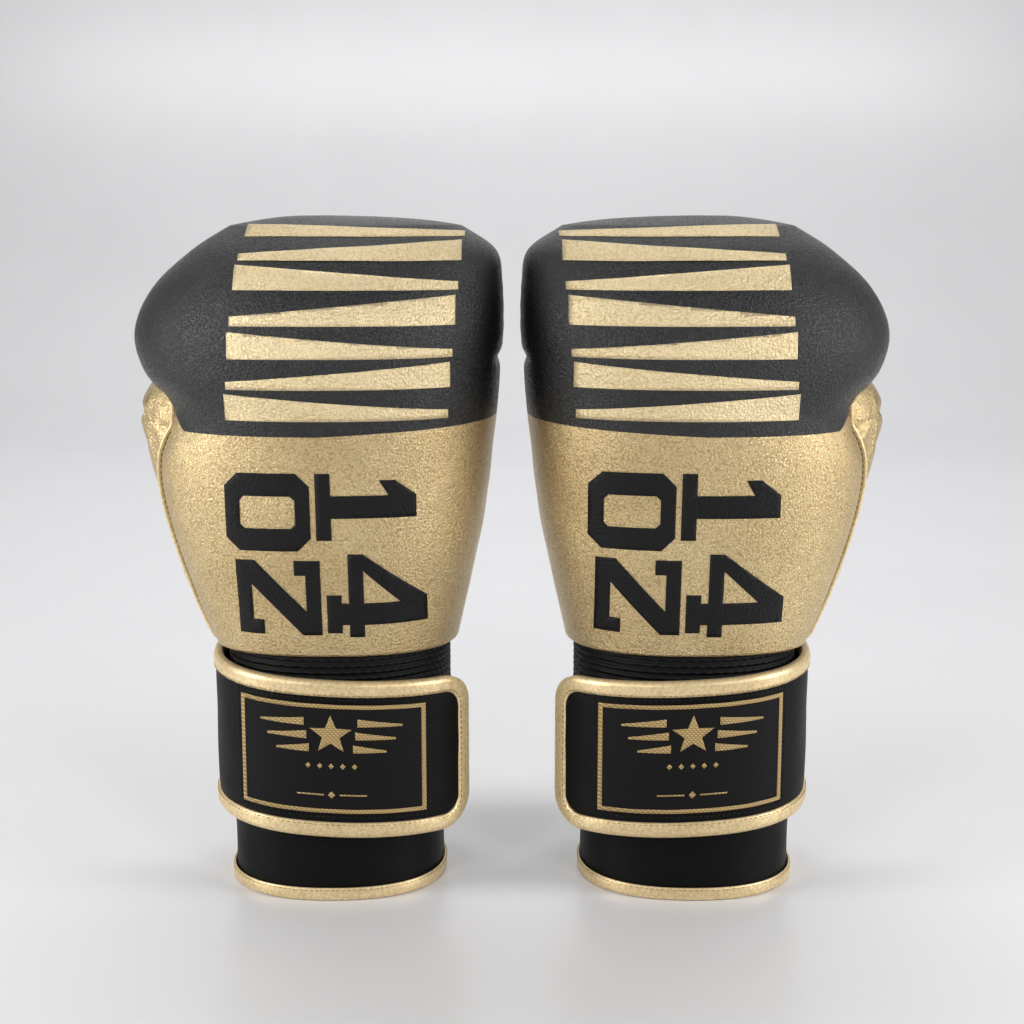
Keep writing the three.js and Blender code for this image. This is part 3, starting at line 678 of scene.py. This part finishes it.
def knuckle_bars(count, low, high):
    """Tapered bars across the knuckles, pointing to alternate sides and leaning to the little
    finger's."""
    pitch = (high - low) / count
    thick, thin = 0.84 * pitch, 0.26 * pitch
    bars = []
    for k in range(count):
        bottom = low + k * pitch
        lean = 8 * (bottom - low) / (high - low)
        start, end = -49 + lean + 8, 49 + lean + 8
        left, right = (thin, thick) if k % 2 else (thick, thin)
        bars.append([[(start, bottom), (end, bottom), (end, bottom + right), (start, bottom + left)]])
    return bars


def mirror_for(hand, figure):
    """A figure drawn toward the little finger, as the viewer sees it on this hand's glove."""
    if HANDS[hand] < 0:
        return figure
    return [[(-x, y) for x, y in reversed(outline)] for outline in figure]


# ---------------------------------------------------------------- the thumb

def thumb_middle(t):
    return Vector([spline([at[k] for at, _ in THUMB], t) for k in range(3)])


def thumb_surface(turn, t):
    """The thumb around its bent middle line, up to its round tip."""
    last = len(THUMB) - 1
    along_t = min(t, last)
    middle = thumb_middle(along_t)
    ahead = min(along_t + 0.05, last)
    along = (thumb_middle(ahead) - thumb_middle(ahead - 0.1)).normalized()
    radius = spline([r for _, r in THUMB], along_t)
    across = Vector((0, 1, 0)).cross(along).normalized()
    to_palm = along.cross(across)
    tip = max(t - last, 0) * math.pi / 2
    angle = turn * 2 * math.pi
    outer, inward = math.cos(angle), math.sin(angle)
    if inward < 0:
        power = 2 / THUMB_FULLNESS
        outer = math.copysign(abs(outer) ** power, outer)
        inward = -THUMB_SPREAD * abs(inward) ** power
    ring = across * (radius * outer) + to_palm * (radius * inward)
    return middle + along * (radius * math.sin(tip)) + ring * math.cos(tip)


def thumb_relief(point):
    """Gathers that fan out from the corner where the thumb is drawn in under the knuckles."""
    away = point - PUCKER
    distance = away.length
    angle = math.atan2(away.z, away.y)
    folds = 0.5 + 0.5 * math.sin(THUMB_GATHERS["count"] * angle + 0.4)
    relief = THUMB_GATHERS["depth"] * (folds ** 0.6 - 0.6)
    relief *= bell(distance - THUMB_GATHERS["away"], THUMB_GATHERS["reach"])
    relief -= 2.5 * bell(distance, PUCKER_WIDTH)
    return relief + 0.6 * noise.noise(point / 30)


def thumb_piece(hand):
    columns, rows, levels = 72, 96, len(THUMB)
    points = []
    for r in range(rows):
        t = levels * r / (rows - 1)
        middle = sum((thumb_surface(k / 4, t) for k in range(4)), Vector()) / 4
        for c in range(columns):
            point = thumb_surface(c / columns, t)
            direction = point - middle if (point - middle).length > 1 else Vector((0, 0, 1))
            points.append(point + direction.normalized() * thumb_relief(point))
    piece = add_closed(hand, "thumb_shell", points, grid_faces(rows, columns), GOLD)
    thicken(piece, LEATHER)
    return piece


# ---------------------------------------------------------------- the cuff

def cuff_numbers(z):
    for low, high in zip(CUFF, CUFF[1:]):
        if z <= high[0]:
            part = (z - low[0]) / (high[0] - low[0])
            return [z] + [a + (b - a) * part for a, b in zip(low[1:], high[1:])]
    return [z, *CUFF[-1][1:]]


def cuff_point(turn, z, out):
    numbers = [value + out for value in cuff_numbers(z)[1:]]
    return outline_point([z, *numbers, CUFF_ROUNDNESS], turn, CUFF_ROUNDNESS)


def cuff_ring(section, columns=120):
    """A closed section swept round the cuff: outward reach and height of each corner."""
    rings = [[cuff_point(c / columns, z, out) for out, z in section] for c in range(columns)]
    return swept(rings, closed_path=True)


def rounded(section, amount=0.35, passes=2):
    """A closed outline with its corners cut off, again and again."""
    for _ in range(passes):
        section = [
            corner for a, b in zip(section, section[1:] + section[:1])
            for corner in (
                tuple(p + (q - p) * amount for p, q in zip(a, b)),
                tuple(q - (q - p) * amount for p, q in zip(a, b)),
            )
        ]
    return section


def cuff_tube(hand, name, low, high, outside, thickness, material, wave=0.0, rows=24, columns=120):
    """A sleeve around the cuff, as one closed wall."""
    heights = [low + (high - low) * k / rows for k in range(rows + 1)]
    section = [(outside, z) for z in heights] + [(outside - thickness, z) for z in reversed(heights)]
    rings = []
    for c in range(columns):
        ring = []
        for out, z in section:
            point = cuff_point(c / columns, z, out)
            ripple = wave * noise.noise(Vector((point.x / 26, point.y / 26, z / 15)))
            ring.append(cuff_point(c / columns, z, out + ripple))
        rings.append(ring)
    return add_closed(hand, name, *swept(rings, closed_path=True), material)


BAND_OUT = -0.6  # how far the wrist band lies inside the cuff's outside
BAND_HIDDEN = 2  # how far it runs on behind the cuff and behind the mitt
BAND_RIB = 3.1


def band_size():
    """The wrist band's flat height and length, in metres."""
    ring = [cuff_point(k / COLUMNS, cuff_top, BAND_OUT) for k in range(COLUMNS + 1)]
    around = sum((b - a).length for a, b in zip(ring, ring[1:]))
    return (mitt_bottom - cuff_top + 2 * BAND_HIDDEN) * MM, around * MM


def wrist_band(hand):
    """The mesh band between cuff and mitt, with fine ribs running round it."""
    low, high = cuff_top - BAND_HIDDEN, mitt_bottom + BAND_HIDDEN
    rows = 60
    heights = [low + (high - low) * k / rows for k in range(rows + 1)]
    outer = [(BAND_OUT + 0.45 * math.sin(2 * math.pi * z / BAND_RIB), z) for z in heights]
    inner = [(-3, z) for z in reversed(heights)]
    return add_closed(hand, "wrist_band", *cuff_ring(outer + inner, COLUMNS), MESH)


def rim_binding(hand):
    """The edging folded over the cuff's rim: up the outside, under the rim and up the inside."""
    top = rim_height
    outside = [(0.1, 1.8), (0.1, top), (1.7, top - 0.4), (1.9, 1.2), (1.2, 0)]
    inside = [(-10.9, 0), (-11.3, top), (-9.9, top), (-9.9, 1.8)]
    section = [(out, max(z, 0)) for out, z in rounded(outside + inside)]
    return add_closed(hand, "cuff_binding", *cuff_ring(section), SMOOTH_GOLD)


# ---------------------------------------------------------------- the strap

def walk_round():
    """The outline that the strap follows, walked from the middle of the back."""
    steps = 720
    numbers = [0, *CUFF[-1][1:], CUFF_ROUNDNESS]
    points = [outline_point(numbers, (0.25 - k / steps) % 1, CUFF_ROUNDNESS) for k in range(steps + 1)]
    lengths = [0.0]
    for a, b in zip(points, points[1:]):
        lengths.append(lengths[-1] + (b - a).length)
    return points, lengths


WALK, WALKED = walk_round()


def strap_point(around, z, out):
    """The point at a length around the cuff, a height and a reach outward from the cuff."""
    length = around % WALKED[-1]
    high = min(bisect(WALKED, length), len(WALKED) - 1)
    low = high - 1
    part = (length - WALKED[low]) / (WALKED[high] - WALKED[low])
    ahead = WALK[(high + 3) % (len(WALK) - 1)] - WALK[(low - 3) % (len(WALK) - 1)]
    outside = Vector((ahead.y, -ahead.x, 0)).normalized()
    spring = max(around - SPRING_START, 0) / (FLAP_END - SPRING_START)
    point = WALK[low].lerp(WALK[high], part) + outside * (out + SPRING_REACH * spring ** 2)
    return Vector((point.x, point.y, z))


def strap_top(around):
    if around >= BRIDGE_START:
        return STRAP_TOP + STRAP_SLOPE * around
    return STRAP_TOP + STRAP_SLOPE * BRIDGE_START - BRIDGE_TAPER * (BRIDGE_START - around)


def strap_bottom(around):
    return STRAP_BOTTOM + STRAP_SLOPE * max(around, BRIDGE_START)


def end_rounding(around):
    into = max(around - (FLAP_END - FLAP_CORNER), 0)
    return FLAP_CORNER - math.sqrt(max(FLAP_CORNER ** 2 - into ** 2, 0))


def strap_sheet(hand, name, start, end, material):
    """The strap's leather between two places around the cuff, slightly padded."""
    steps = max(int(abs(end - start) / 2), 6)
    places = [start + (end - start) * k / steps for k in range(steps + 1)]
    rows = 28
    points = []
    for face in (STRAP_FACE, STRAP_UNDER):
        for around in places:
            inset = end_rounding(around) if end > 0 else 0
            low, high = strap_bottom(around) + inset, strap_top(around) - inset
            for k in range(rows + 1):
                part = k / rows
                edge = min(part, 1 - part) * (high - low)
                puff = 0.5 * smooth_step(3, 12, edge) if face == STRAP_FACE else 0
                out = face + puff + 0.25 * noise.noise(Vector((around / 18, part * 4, 3.0)))
                points.append(strap_point(around, low + (high - low) * part, out))
    size = rows + 1
    faces = []
    layer = len(places) * size
    for i in range(len(places) - 1):
        for k in range(rows):
            a, b = i * size + k, (i + 1) * size + k
            faces.append((a, a + 1, b + 1, b))
            faces.append((layer + a, layer + b, layer + b + 1, layer + a + 1))
    ring = [i * size for i in range(len(places))]
    ring += [(len(places) - 1) * size + k for k in range(1, size)]
    ring += [i * size + rows for i in reversed(range(len(places) - 1))]
    ring += [k for k in reversed(range(1, rows))]
    for a, b in zip(ring, ring[1:] + ring[:1]):
        faces.append((a, b, layer + b, layer + a))
    return add_closed(hand, name, points, faces, material)


def edge_path(start, end, edge, inward, step=2.0):
    count = max(int(abs(end - start) / step), 2)
    places = [start + (end - start) * k / count for k in range(count + 1)]
    return [(around, edge(around), (0, inward)) for around in places]


def flap_edge(start):
    """The flap's edge from its lower root round the free end and back."""
    turn_in = FLAP_END - FLAP_CORNER
    lower = edge_path(start, turn_in, strap_bottom, 1)
    upper = edge_path(turn_in, start, strap_top, -1)
    corners = []
    steps = range(1, 13)
    for edge, side, turns in ((strap_bottom, 1, steps), (strap_top, -1, reversed(steps))):
        for k in turns:
            turn = k / len(steps) * math.pi / 2
            around = turn_in + FLAP_CORNER * math.sin(turn)
            z = edge(turn_in) + side * FLAP_CORNER * (1 - math.cos(turn))
            corners.append((around, z, (-math.sin(turn), side * math.cos(turn))))
    return lower + corners + upper


BINDING_SECTION = rounded([
    (BINDING_WIDTH, STRAP_FACE - 0.4), (BINDING_WIDTH - 0.2, STRAP_FACE + 1.1), (3.2, STRAP_FACE + 1.6),
    (-0.9, STRAP_FACE + 1.2), (-1.4, (STRAP_FACE + STRAP_UNDER) / 2), (-0.9, STRAP_UNDER - 1.0),
    (BINDING_WIDTH - 0.2, STRAP_UNDER - 1.1), (BINDING_WIDTH, STRAP_UNDER + 0.3),
])


def binding_along(hand, name, path):
    """A folded leather edging, slightly puckered between its stitches."""
    rings = []
    for k, (around, z, inward) in enumerate(path):
        pucker = 0.12 * math.sin(k * 2.1) + 0.1 * noise.noise(Vector((around / 7, z / 9, 1.0)))
        rings.append([
            strap_point(
                around + inward[0] * deep, z + inward[1] * deep, out + pucker * smooth_step(-1, 3, deep),
            )
            for deep, out in BINDING_SECTION
        ])
    return add_closed(hand, name, *swept(rings), SMOOTH_GOLD)


def stitch_row(hand, name, path, material, pitch, length, width, height):
    """A row of short six-sided stitches, thinner at their ends. The path gives points, each with
    its outward direction."""
    travelled = [0.0]
    for (a, _), (b, _) in zip(path, path[1:]):
        travelled.append(travelled[-1] + (b - a).length)
    points, faces = [], []
    count = int(travelled[-1] / pitch)
    segment = 0
    for k in range(count):
        target = (k + 0.5) * travelled[-1] / count
        while travelled[segment + 1] < target:
            segment += 1
        part = (target - travelled[segment]) / (travelled[segment + 1] - travelled[segment])
        (a, out_a), (b, out_b) = path[segment], path[segment + 1]
        middle, out = a.lerp(b, part), out_a.lerp(out_b, part).normalized()
        along = (b - a).normalized()
        aside = along.cross(out)
        outline = [
            aside * (math.cos(angle) * width / 2) + out * (math.sin(angle) * height)
            for angle in (step / 6 * 2 * math.pi for step in range(6))
        ]
        rings = [
            [middle + along * (reach * length) + corner * size for corner in outline]
            for reach, size in ((-0.5, 0.25), (-0.3, 0.9), (0.3, 0.9), (0.5, 0.25))
        ]
        stitch, stitch_faces = swept(rings)
        faces += [tuple(len(points) + corner for corner in face) for face in stitch_faces]
        points += stitch
    return add_closed(hand, name, points, faces, material)


def strap_out(around, z, out):
    """A point of the strap and its outward direction."""
    base, lifted = strap_point(around, z, out), strap_point(around, z, out + 1)
    return base, lifted - base


BINDING_STITCH = (2.6, 2.0, 0.55, 0.3)  # pitch, length, width and height


def binding_stitches(hand, name, path):
    deep = BINDING_WIDTH - 1.1
    line = [
        strap_out(around + inward[0] * deep, z + inward[1] * deep, STRAP_FACE + 1.25)
        for around, z, inward in path
    ]
    return stitch_row(hand, name, line, GOLD_THREAD, *BINDING_STITCH)


# ---------------------------------------------------------------- the label on the flap

LABEL_OUT = STRAP_FACE + 0.9


def label_surface(across, up):
    return strap_point(across, LABEL["middle"] + STRAP_SLOPE * across + up, LABEL_OUT)


def rectangle(low_x, low_y, high_x, high_y):
    return [(low_x, low_y), (high_x, low_y), (high_x, high_y), (low_x, high_y)]


def diamond(x, y, wide, tall):
    return [[(x - wide / 2, y), (x, y - tall / 2), (x + wide / 2, y), (x, y + tall / 2)]]


def star(x, y, radius, points=5):
    corners = []
    for k in range(2 * points):
        reach = radius if k % 2 == 0 else radius * 0.42
        angle = math.pi / 2 + k * math.pi / points
        corners.append((x + reach * math.cos(angle), y + reach * math.sin(angle)))
    return [corners]


def label_emblem():
    """A star between tapered bars, a row of small diamonds, and a rule with a diamond below."""
    shift = LABEL["shift"]
    figures = [star(shift, 11.5, 9.5)]
    for k, reach in enumerate((19, 17, 14)):
        y = 17.5 - 6.2 * k
        for side in (-1, 1):
            near, far = shift + side * (11.5 - k), shift + side * (11.5 - k + reach)
            bar = [(near, y - 1.9), (far, y - 0.5 - 1.2), (far, y + 0.5 - 1.2), (near, y + 1.9)]
            figures.append([bar if side > 0 else list(reversed(bar))])
    figures += [diamond(shift + 5 * k, -3.4, 2.3, 2.9) for k in range(-2, 3)]
    for side in (-1, 1):
        ends = sorted((shift + side * 3.5, shift + side * 15))
        figures.append([rectangle(ends[0], -17.6, ends[1], -16.9)])
    figures.append(diamond(shift, -17.2, 3.2, 3.6))
    return figures


def label_rectangle(grown=0):
    """The label's outline, grown on every side."""
    wide, tall = LABEL["width"] / 2 + grown, LABEL["height"] / 2 + grown
    return rectangle(LABEL["shift"] - wide, -tall, LABEL["shift"] + wide, tall)


def label_border():
    return [[label_rectangle(), list(reversed(label_rectangle(-1.9)))]]


# ---------------------------------------------------------------- building both gloves

def build_mitt(hand):
    for name, slot, covers in MITT_PANELS:
        panel = mitt_panel(hand, name, covers, slot == "gold_leather")
        finish(panel, hand, "mitt", slot, name)
    finish(thumb_piece(hand), hand, "mitt", "gold_leather", "thumb_shell")
    build_padding(hand)
    build_prints(hand)
    build_seams(hand)


def build_padding(hand):
    """The foam under the skin, down to its edge at the wrist, and the lining inside it."""
    columns, rows = 64, 44
    top = len(MITT) - 1
    skin, inside = [], []
    for r in range(rows):
        for c in range(columns):
            turn, t = c / columns, top * r / (rows - 1)
            bare = bare_mitt(turn, t)
            skin.append(bare - outward(bare_mitt, turn, t) * (LEATHER + 3))
            part = (len(LINING) - 1) * r / (rows - 1)
            inside.append(outline_point(level_at(LINING, part), turn, ROUNDNESS))
    for layer in (skin, inside):
        for c in range(columns):
            layer[c].z = mitt_bottom + 0.5
    outer_faces = grid_faces(rows, columns)
    inner_faces = [tuple(reversed([k + len(skin) for k in face])) for face in outer_faces]
    foot = [(c, (c + 1) % columns, len(skin) + (c + 1) % columns, len(skin) + c) for c in range(columns)]
    body = add_closed(hand, "knuckle_foam", skin + inside, outer_faces + inner_faces + foot, FOAM)
    foams = ("back_foam", "knuckle_foam", "crown_foam", "finger_foam", "palm_foam", "thumb_foam")
    finish(body, hand, "mitt", "padding", *foams)
    sack = add_piece(hand, "hand_lining", inside, outer_faces, [LINING_CLOTH])
    thicken(sack, 1.0)
    finish(sack, hand, "mitt", "lining_fabric", "hand_lining")


def build_prints(hand):
    shift = -3.5 - 4 * HANDS[hand]
    mark = [[[(x + shift, z) for x, z in outline] for outline in figure] for figure in size_mark()]
    piece = laid_figure(
        hand, "size_mark", mark, lambda x, z: back_point(x, level_of(z), PRINT_LIFT), BLACK_PRINT,
    )
    finish(piece, hand, "mitt", "black_leather")
    low, high = level_of(231), level_of(316.8)
    bars = [mirror_for(hand, bar) for bar in knuckle_bars(7, low, high)]
    piece = laid_figure(
        hand, "knuckle_bars", bars, lambda x, t: back_point(x, t, PRINT_LIFT), GOLD_PRINT, (2.5, 0.1),
    )
    finish(piece, hand, "mitt", "gold_leather")


def build_seams(hand):
    """The raised cord along the thumb's seam and the stitches beside it."""
    line = [row_level(r, THUMB_SEAM) for r in range(0, FOLD_LEVEL * STEPS)]
    path = [(mitt_surface(THUMB_SEAM, t), outward(bare_mitt, THUMB_SEAM, t)) for t in line]
    radius, sides = 1.5, 10
    back = Vector((0, -1, 0))
    rings = []
    for k, (point, out) in enumerate(path):
        centre = point + out * radius * smooth_step(-1, 3, min(k, len(path) - 1 - k))
        rings.append([
            centre + out * (radius * math.cos(angle)) + back * (radius * math.sin(angle))
            for angle in (c / sides * 2 * math.pi for c in range(sides))
        ])
    cord = add_closed(hand, "thumb_seam_piping", *swept(rings), SMOOTH_GOLD)
    finish(cord, hand, "mitt", "gold_leather", "thumb_seam_piping")
    beside = THUMB_SEAM - 0.0075
    groove = []
    for t in line:
        out = outward(bare_mitt, beside, t)
        groove.append((mitt_surface(beside, t) + out * 0.1, out))
    stitches = stitch_row(hand, "thumb_seam_stitches", groove, BLACK_THREAD, 2.8, 1.7, 0.6, 0.25)
    finish(stitches, hand, "mitt", "gold_leather")


def build_cuff(hand):
    shell = cuff_tube(hand, "cuff_shell", 1.9, cuff_top, 0, LEATHER, STRAP_BLACK, wave=0.5)
    finish(shell, hand, "cuff", "black_leather", "cuff_shell")
    padding = cuff_tube(hand, "cuff_foam", 2.2, cuff_top - 0.5, -2.6, 5.2, FOAM, rows=3)
    finish(padding, hand, "cuff", "padding", "cuff_foam")
    lining = cuff_tube(hand, "cuff_lining", 1.9, cuff_top, -8.4, 1.0, LINING_CLOTH, wave=0.2)
    finish(lining, hand, "cuff", "lining_fabric", "cuff_lining")
    rim = rim_binding(hand)
    finish(rim, hand, "cuff", "gold_leather", "cuff_binding")
    line = []
    for c in range(COLUMNS + 1):
        at, beyond = (cuff_point(c / COLUMNS, rim_height - 1.2, out) for out in (1.55, 2.5))
        line.append((at, (beyond - at).normalized()))
    stitches = stitch_row(hand, "rim_stitches", line, GOLD_THREAD, *BINDING_STITCH)
    finish(stitches, hand, "cuff", "gold_leather")
    band = wrist_band(hand)
    band_size()
    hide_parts(f"{hand}_wrist_band")
    start, end = (place(HANDS[hand], (0, 0, z)) for z in (cuff_top, mitt_bottom))
    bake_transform(band)


def declare_strap_sheet(piece, hand, start, end, held):
    """Works out the widths at both ends of one length of the strap's flat webbing, cut with straight edges,
    and does nothing more with them.
    """
    widths = [strap_top(around) - strap_bottom(around) for around in (start, end)]


STRAP_EDGES = (("upper", strap_top, -1), ("lower", strap_bottom, 1))


def build_strap(hand):
    flap = strap_sheet(hand, "strap_flap", BEND[1], FLAP_END, STRAP_BLACK)
    finish(flap, hand, "flap", "black_leather", "strap_flap")
    edge = flap_edge(BEND[1])
    finish(binding_along(hand, "flap_binding", edge), hand, "flap", "gold_leather", "flap_binding")
    finish(binding_stitches(hand, "flap_stitches", edge), hand, "flap", "gold_leather")
    bridge = strap_sheet(hand, "strap_bridge", BRIDGE_END, BEND[0], STRAP_BLACK)
    finish(bridge, hand, "bridge", "black_leather", "strap_bridge")
    for edge_name, run, inward in STRAP_EDGES:
        name = f"bridge_{edge_name}_binding"
        path = edge_path(BRIDGE_END, BEND[0], run, inward)
        finish(binding_along(hand, name, path), hand, "bridge", "gold_leather", name)
        finish(binding_stitches(hand, f"{name}_stitches", path), hand, "bridge", "gold_leather")
    declare_strap_sheet(flap, hand, BEND[1], FLAP_END, "laid")
    declare_strap_sheet(bridge, hand, BRIDGE_END, BEND[0], "stretched")
    build_bend(hand)
    build_label(hand)


def build_bend(hand):
    """The short stretch of strap that folds when the flap is pulled open."""
    start, end = (place(HANDS[hand], strap_point(around, 70, STRAP_FACE)) for around in BEND)
    pieces = [(strap_sheet(hand, "strap_bend", *BEND, STRAP_BLACK), "black_leather")]
    for edge_name, run, inward in STRAP_EDGES:
        path = edge_path(*BEND, run, inward, 1.0)
        pieces.append((binding_along(hand, f"bend_{edge_name}_binding", path), "gold_leather"))
    for piece, slot in pieces:
        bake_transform(piece)
    declare_strap_sheet(pieces[0][0], hand, *BEND, "folded")


def build_label(hand):
    def laid(name, figures, lift, material):
        def surface(x, up):
            return label_surface(x, up) + strap_out(x, 0, 0)[1] * lift

        return laid_figure(hand, name, [mirror_for(hand, figure) for figure in figures], surface, material)

    patch = laid("label_patch", [[label_rectangle()]], 0, LABEL_CLOTH)
    finish(patch, hand, "flap", "black_leather", "label_patch")
    finish(laid("label_border", label_border(), 0.25, GOLD_THREAD), hand, "flap", "gold_leather")
    finish(laid("label_emblem", label_emblem(), 0.25, GOLD_THREAD), hand, "flap", "gold_leather")
    corners = label_rectangle(2.2)
    steps = 30
    line = []
    for (x0, y0), (x1, y1) in zip(corners, corners[1:] + corners[:1]):
        for k in range(steps):
            x, y = x0 + (x1 - x0) * k / steps, y0 + (y1 - y0) * k / steps
            line.append(strap_out(x, LABEL["middle"] + STRAP_SLOPE * x + y, LABEL_OUT - 0.45))
    stitches = stitch_row(hand, "label_stitches", line, BLACK_THREAD, 2.6, 1.9, 0.7, 0.35)
    finish(stitches, hand, "flap", "black_leather")


for hand in HANDS:
    build_mitt(hand)
    build_cuff(hand)
    build_strap(hand)

# The pieces that keep their CAD shape.
for hand in HANDS:
    for node, material in (
        ("loop_patch", NAP), ("hook_patch", NAP), ("grip_bar", LINING_CLOTH), ("thumb_lining", LINING_CLOTH),
    ):
        piece = bpy.data.objects[f"{hand}_{node}"]
        piece.data.materials.clear()
        piece.data.materials.append(material)

# ---------------------------------------------------------------- floor, light and camera

def stage():
    """A pale, slightly glossy floor that curves up into a pale wall behind."""
    near, far, top, bend, half = -1.2, 1.6, 3.2, 0.9, 4.0
    line = [(near, 0.0)]
    for k in range(17):
        angle = k / 16 * math.pi / 2
        line.append((far + bend * math.sin(angle), bend - bend * math.cos(angle)))
    line.append((far + bend, top))
    mesh = bpy.data.meshes.new("studio")
    points = [(x, y, z) for y, z in line for x in (-half, half)]
    faces = [(2 * k, 2 * k + 1, 2 * k + 3, 2 * k + 2) for k in range(len(line) - 1)]
    mesh.from_pydata(points, [], faces)
    mesh.polygons.foreach_set("use_smooth", [True] * len(faces))
    material, tree, shader = new_material("studio_white", (0.76, 0.76, 0.77), 0.3)
    haze = texture(tree, "ShaderNodeTexNoise", 6.0, Detail=2.0)
    stops = [(0.3, (0.75, 0.75, 0.76)), (0.7, (0.77, 0.77, 0.78))]
    drive(tree, shader.inputs["Base Color"], haze.outputs["Fac"], stops)
    mesh.materials.append(material)
    floor = bpy.data.objects.new("studio", mesh)
    scene.collection.objects.link(floor)


def area_light(name, at, aim, size, power):
    light = bpy.data.lights.new(name, "AREA")
    light.shape = "RECTANGLE"
    light.size, light.size_y = size
    light.energy = power
    lamp = bpy.data.objects.new(name, light)
    lamp.location = at
    lamp.rotation_euler = (Vector(aim) - Vector(at)).to_track_quat("-Z", "Y").to_euler()
    scene.collection.objects.link(lamp)


def studio_light():
    """Soft boxes at both sides and beside the camera, a large one over the back, one for the wall
    and an even pale surround."""
    middle = (0, 0, 0.18)
    area_light("overhead", (0, 0.9, 1.8), middle, (2.2, 0.8), 9.5)
    for side in (-1, 1):
        area_light("side_box", (1.2 * side, -0.45, 0.55), middle, (0.5, 0.7), 12)
        area_light("front_box", (0.8 * side, -1.5, 0.9), middle, (0.3, 0.5), 5)
    area_light("backdrop", (0, 0.9, 2.2), (0, 2.4, 0.6), (3.0, 0.6), 32)
    world = bpy.data.worlds.new("studio_world")
    world.use_nodes = True
    background = world.node_tree.nodes["Background"]
    background.inputs["Color"].default_value = (0.97, 0.98, 1.0, 1)
    background.inputs["Strength"].default_value = 0.16
    scene.world = world
    scene.view_settings.view_transform = "Standard"


def camera():
    """Level with the tops of the gloves, looking a little down."""
    distance, height, tilt, focal_length = 0.80, 0.32, 10, 59.2
    lens = bpy.data.cameras.new("camera")
    lens.sensor_width = 36
    lens.lens = focal_length
    eye = bpy.data.objects.new("camera", lens)
    eye.location = (0, glove_y * MM - distance, height)
    eye.rotation_euler = (math.radians(90 - tilt), 0, 0)
    scene.collection.objects.link(eye)
    scene.camera = eye


stage()
studio_light()
camera()
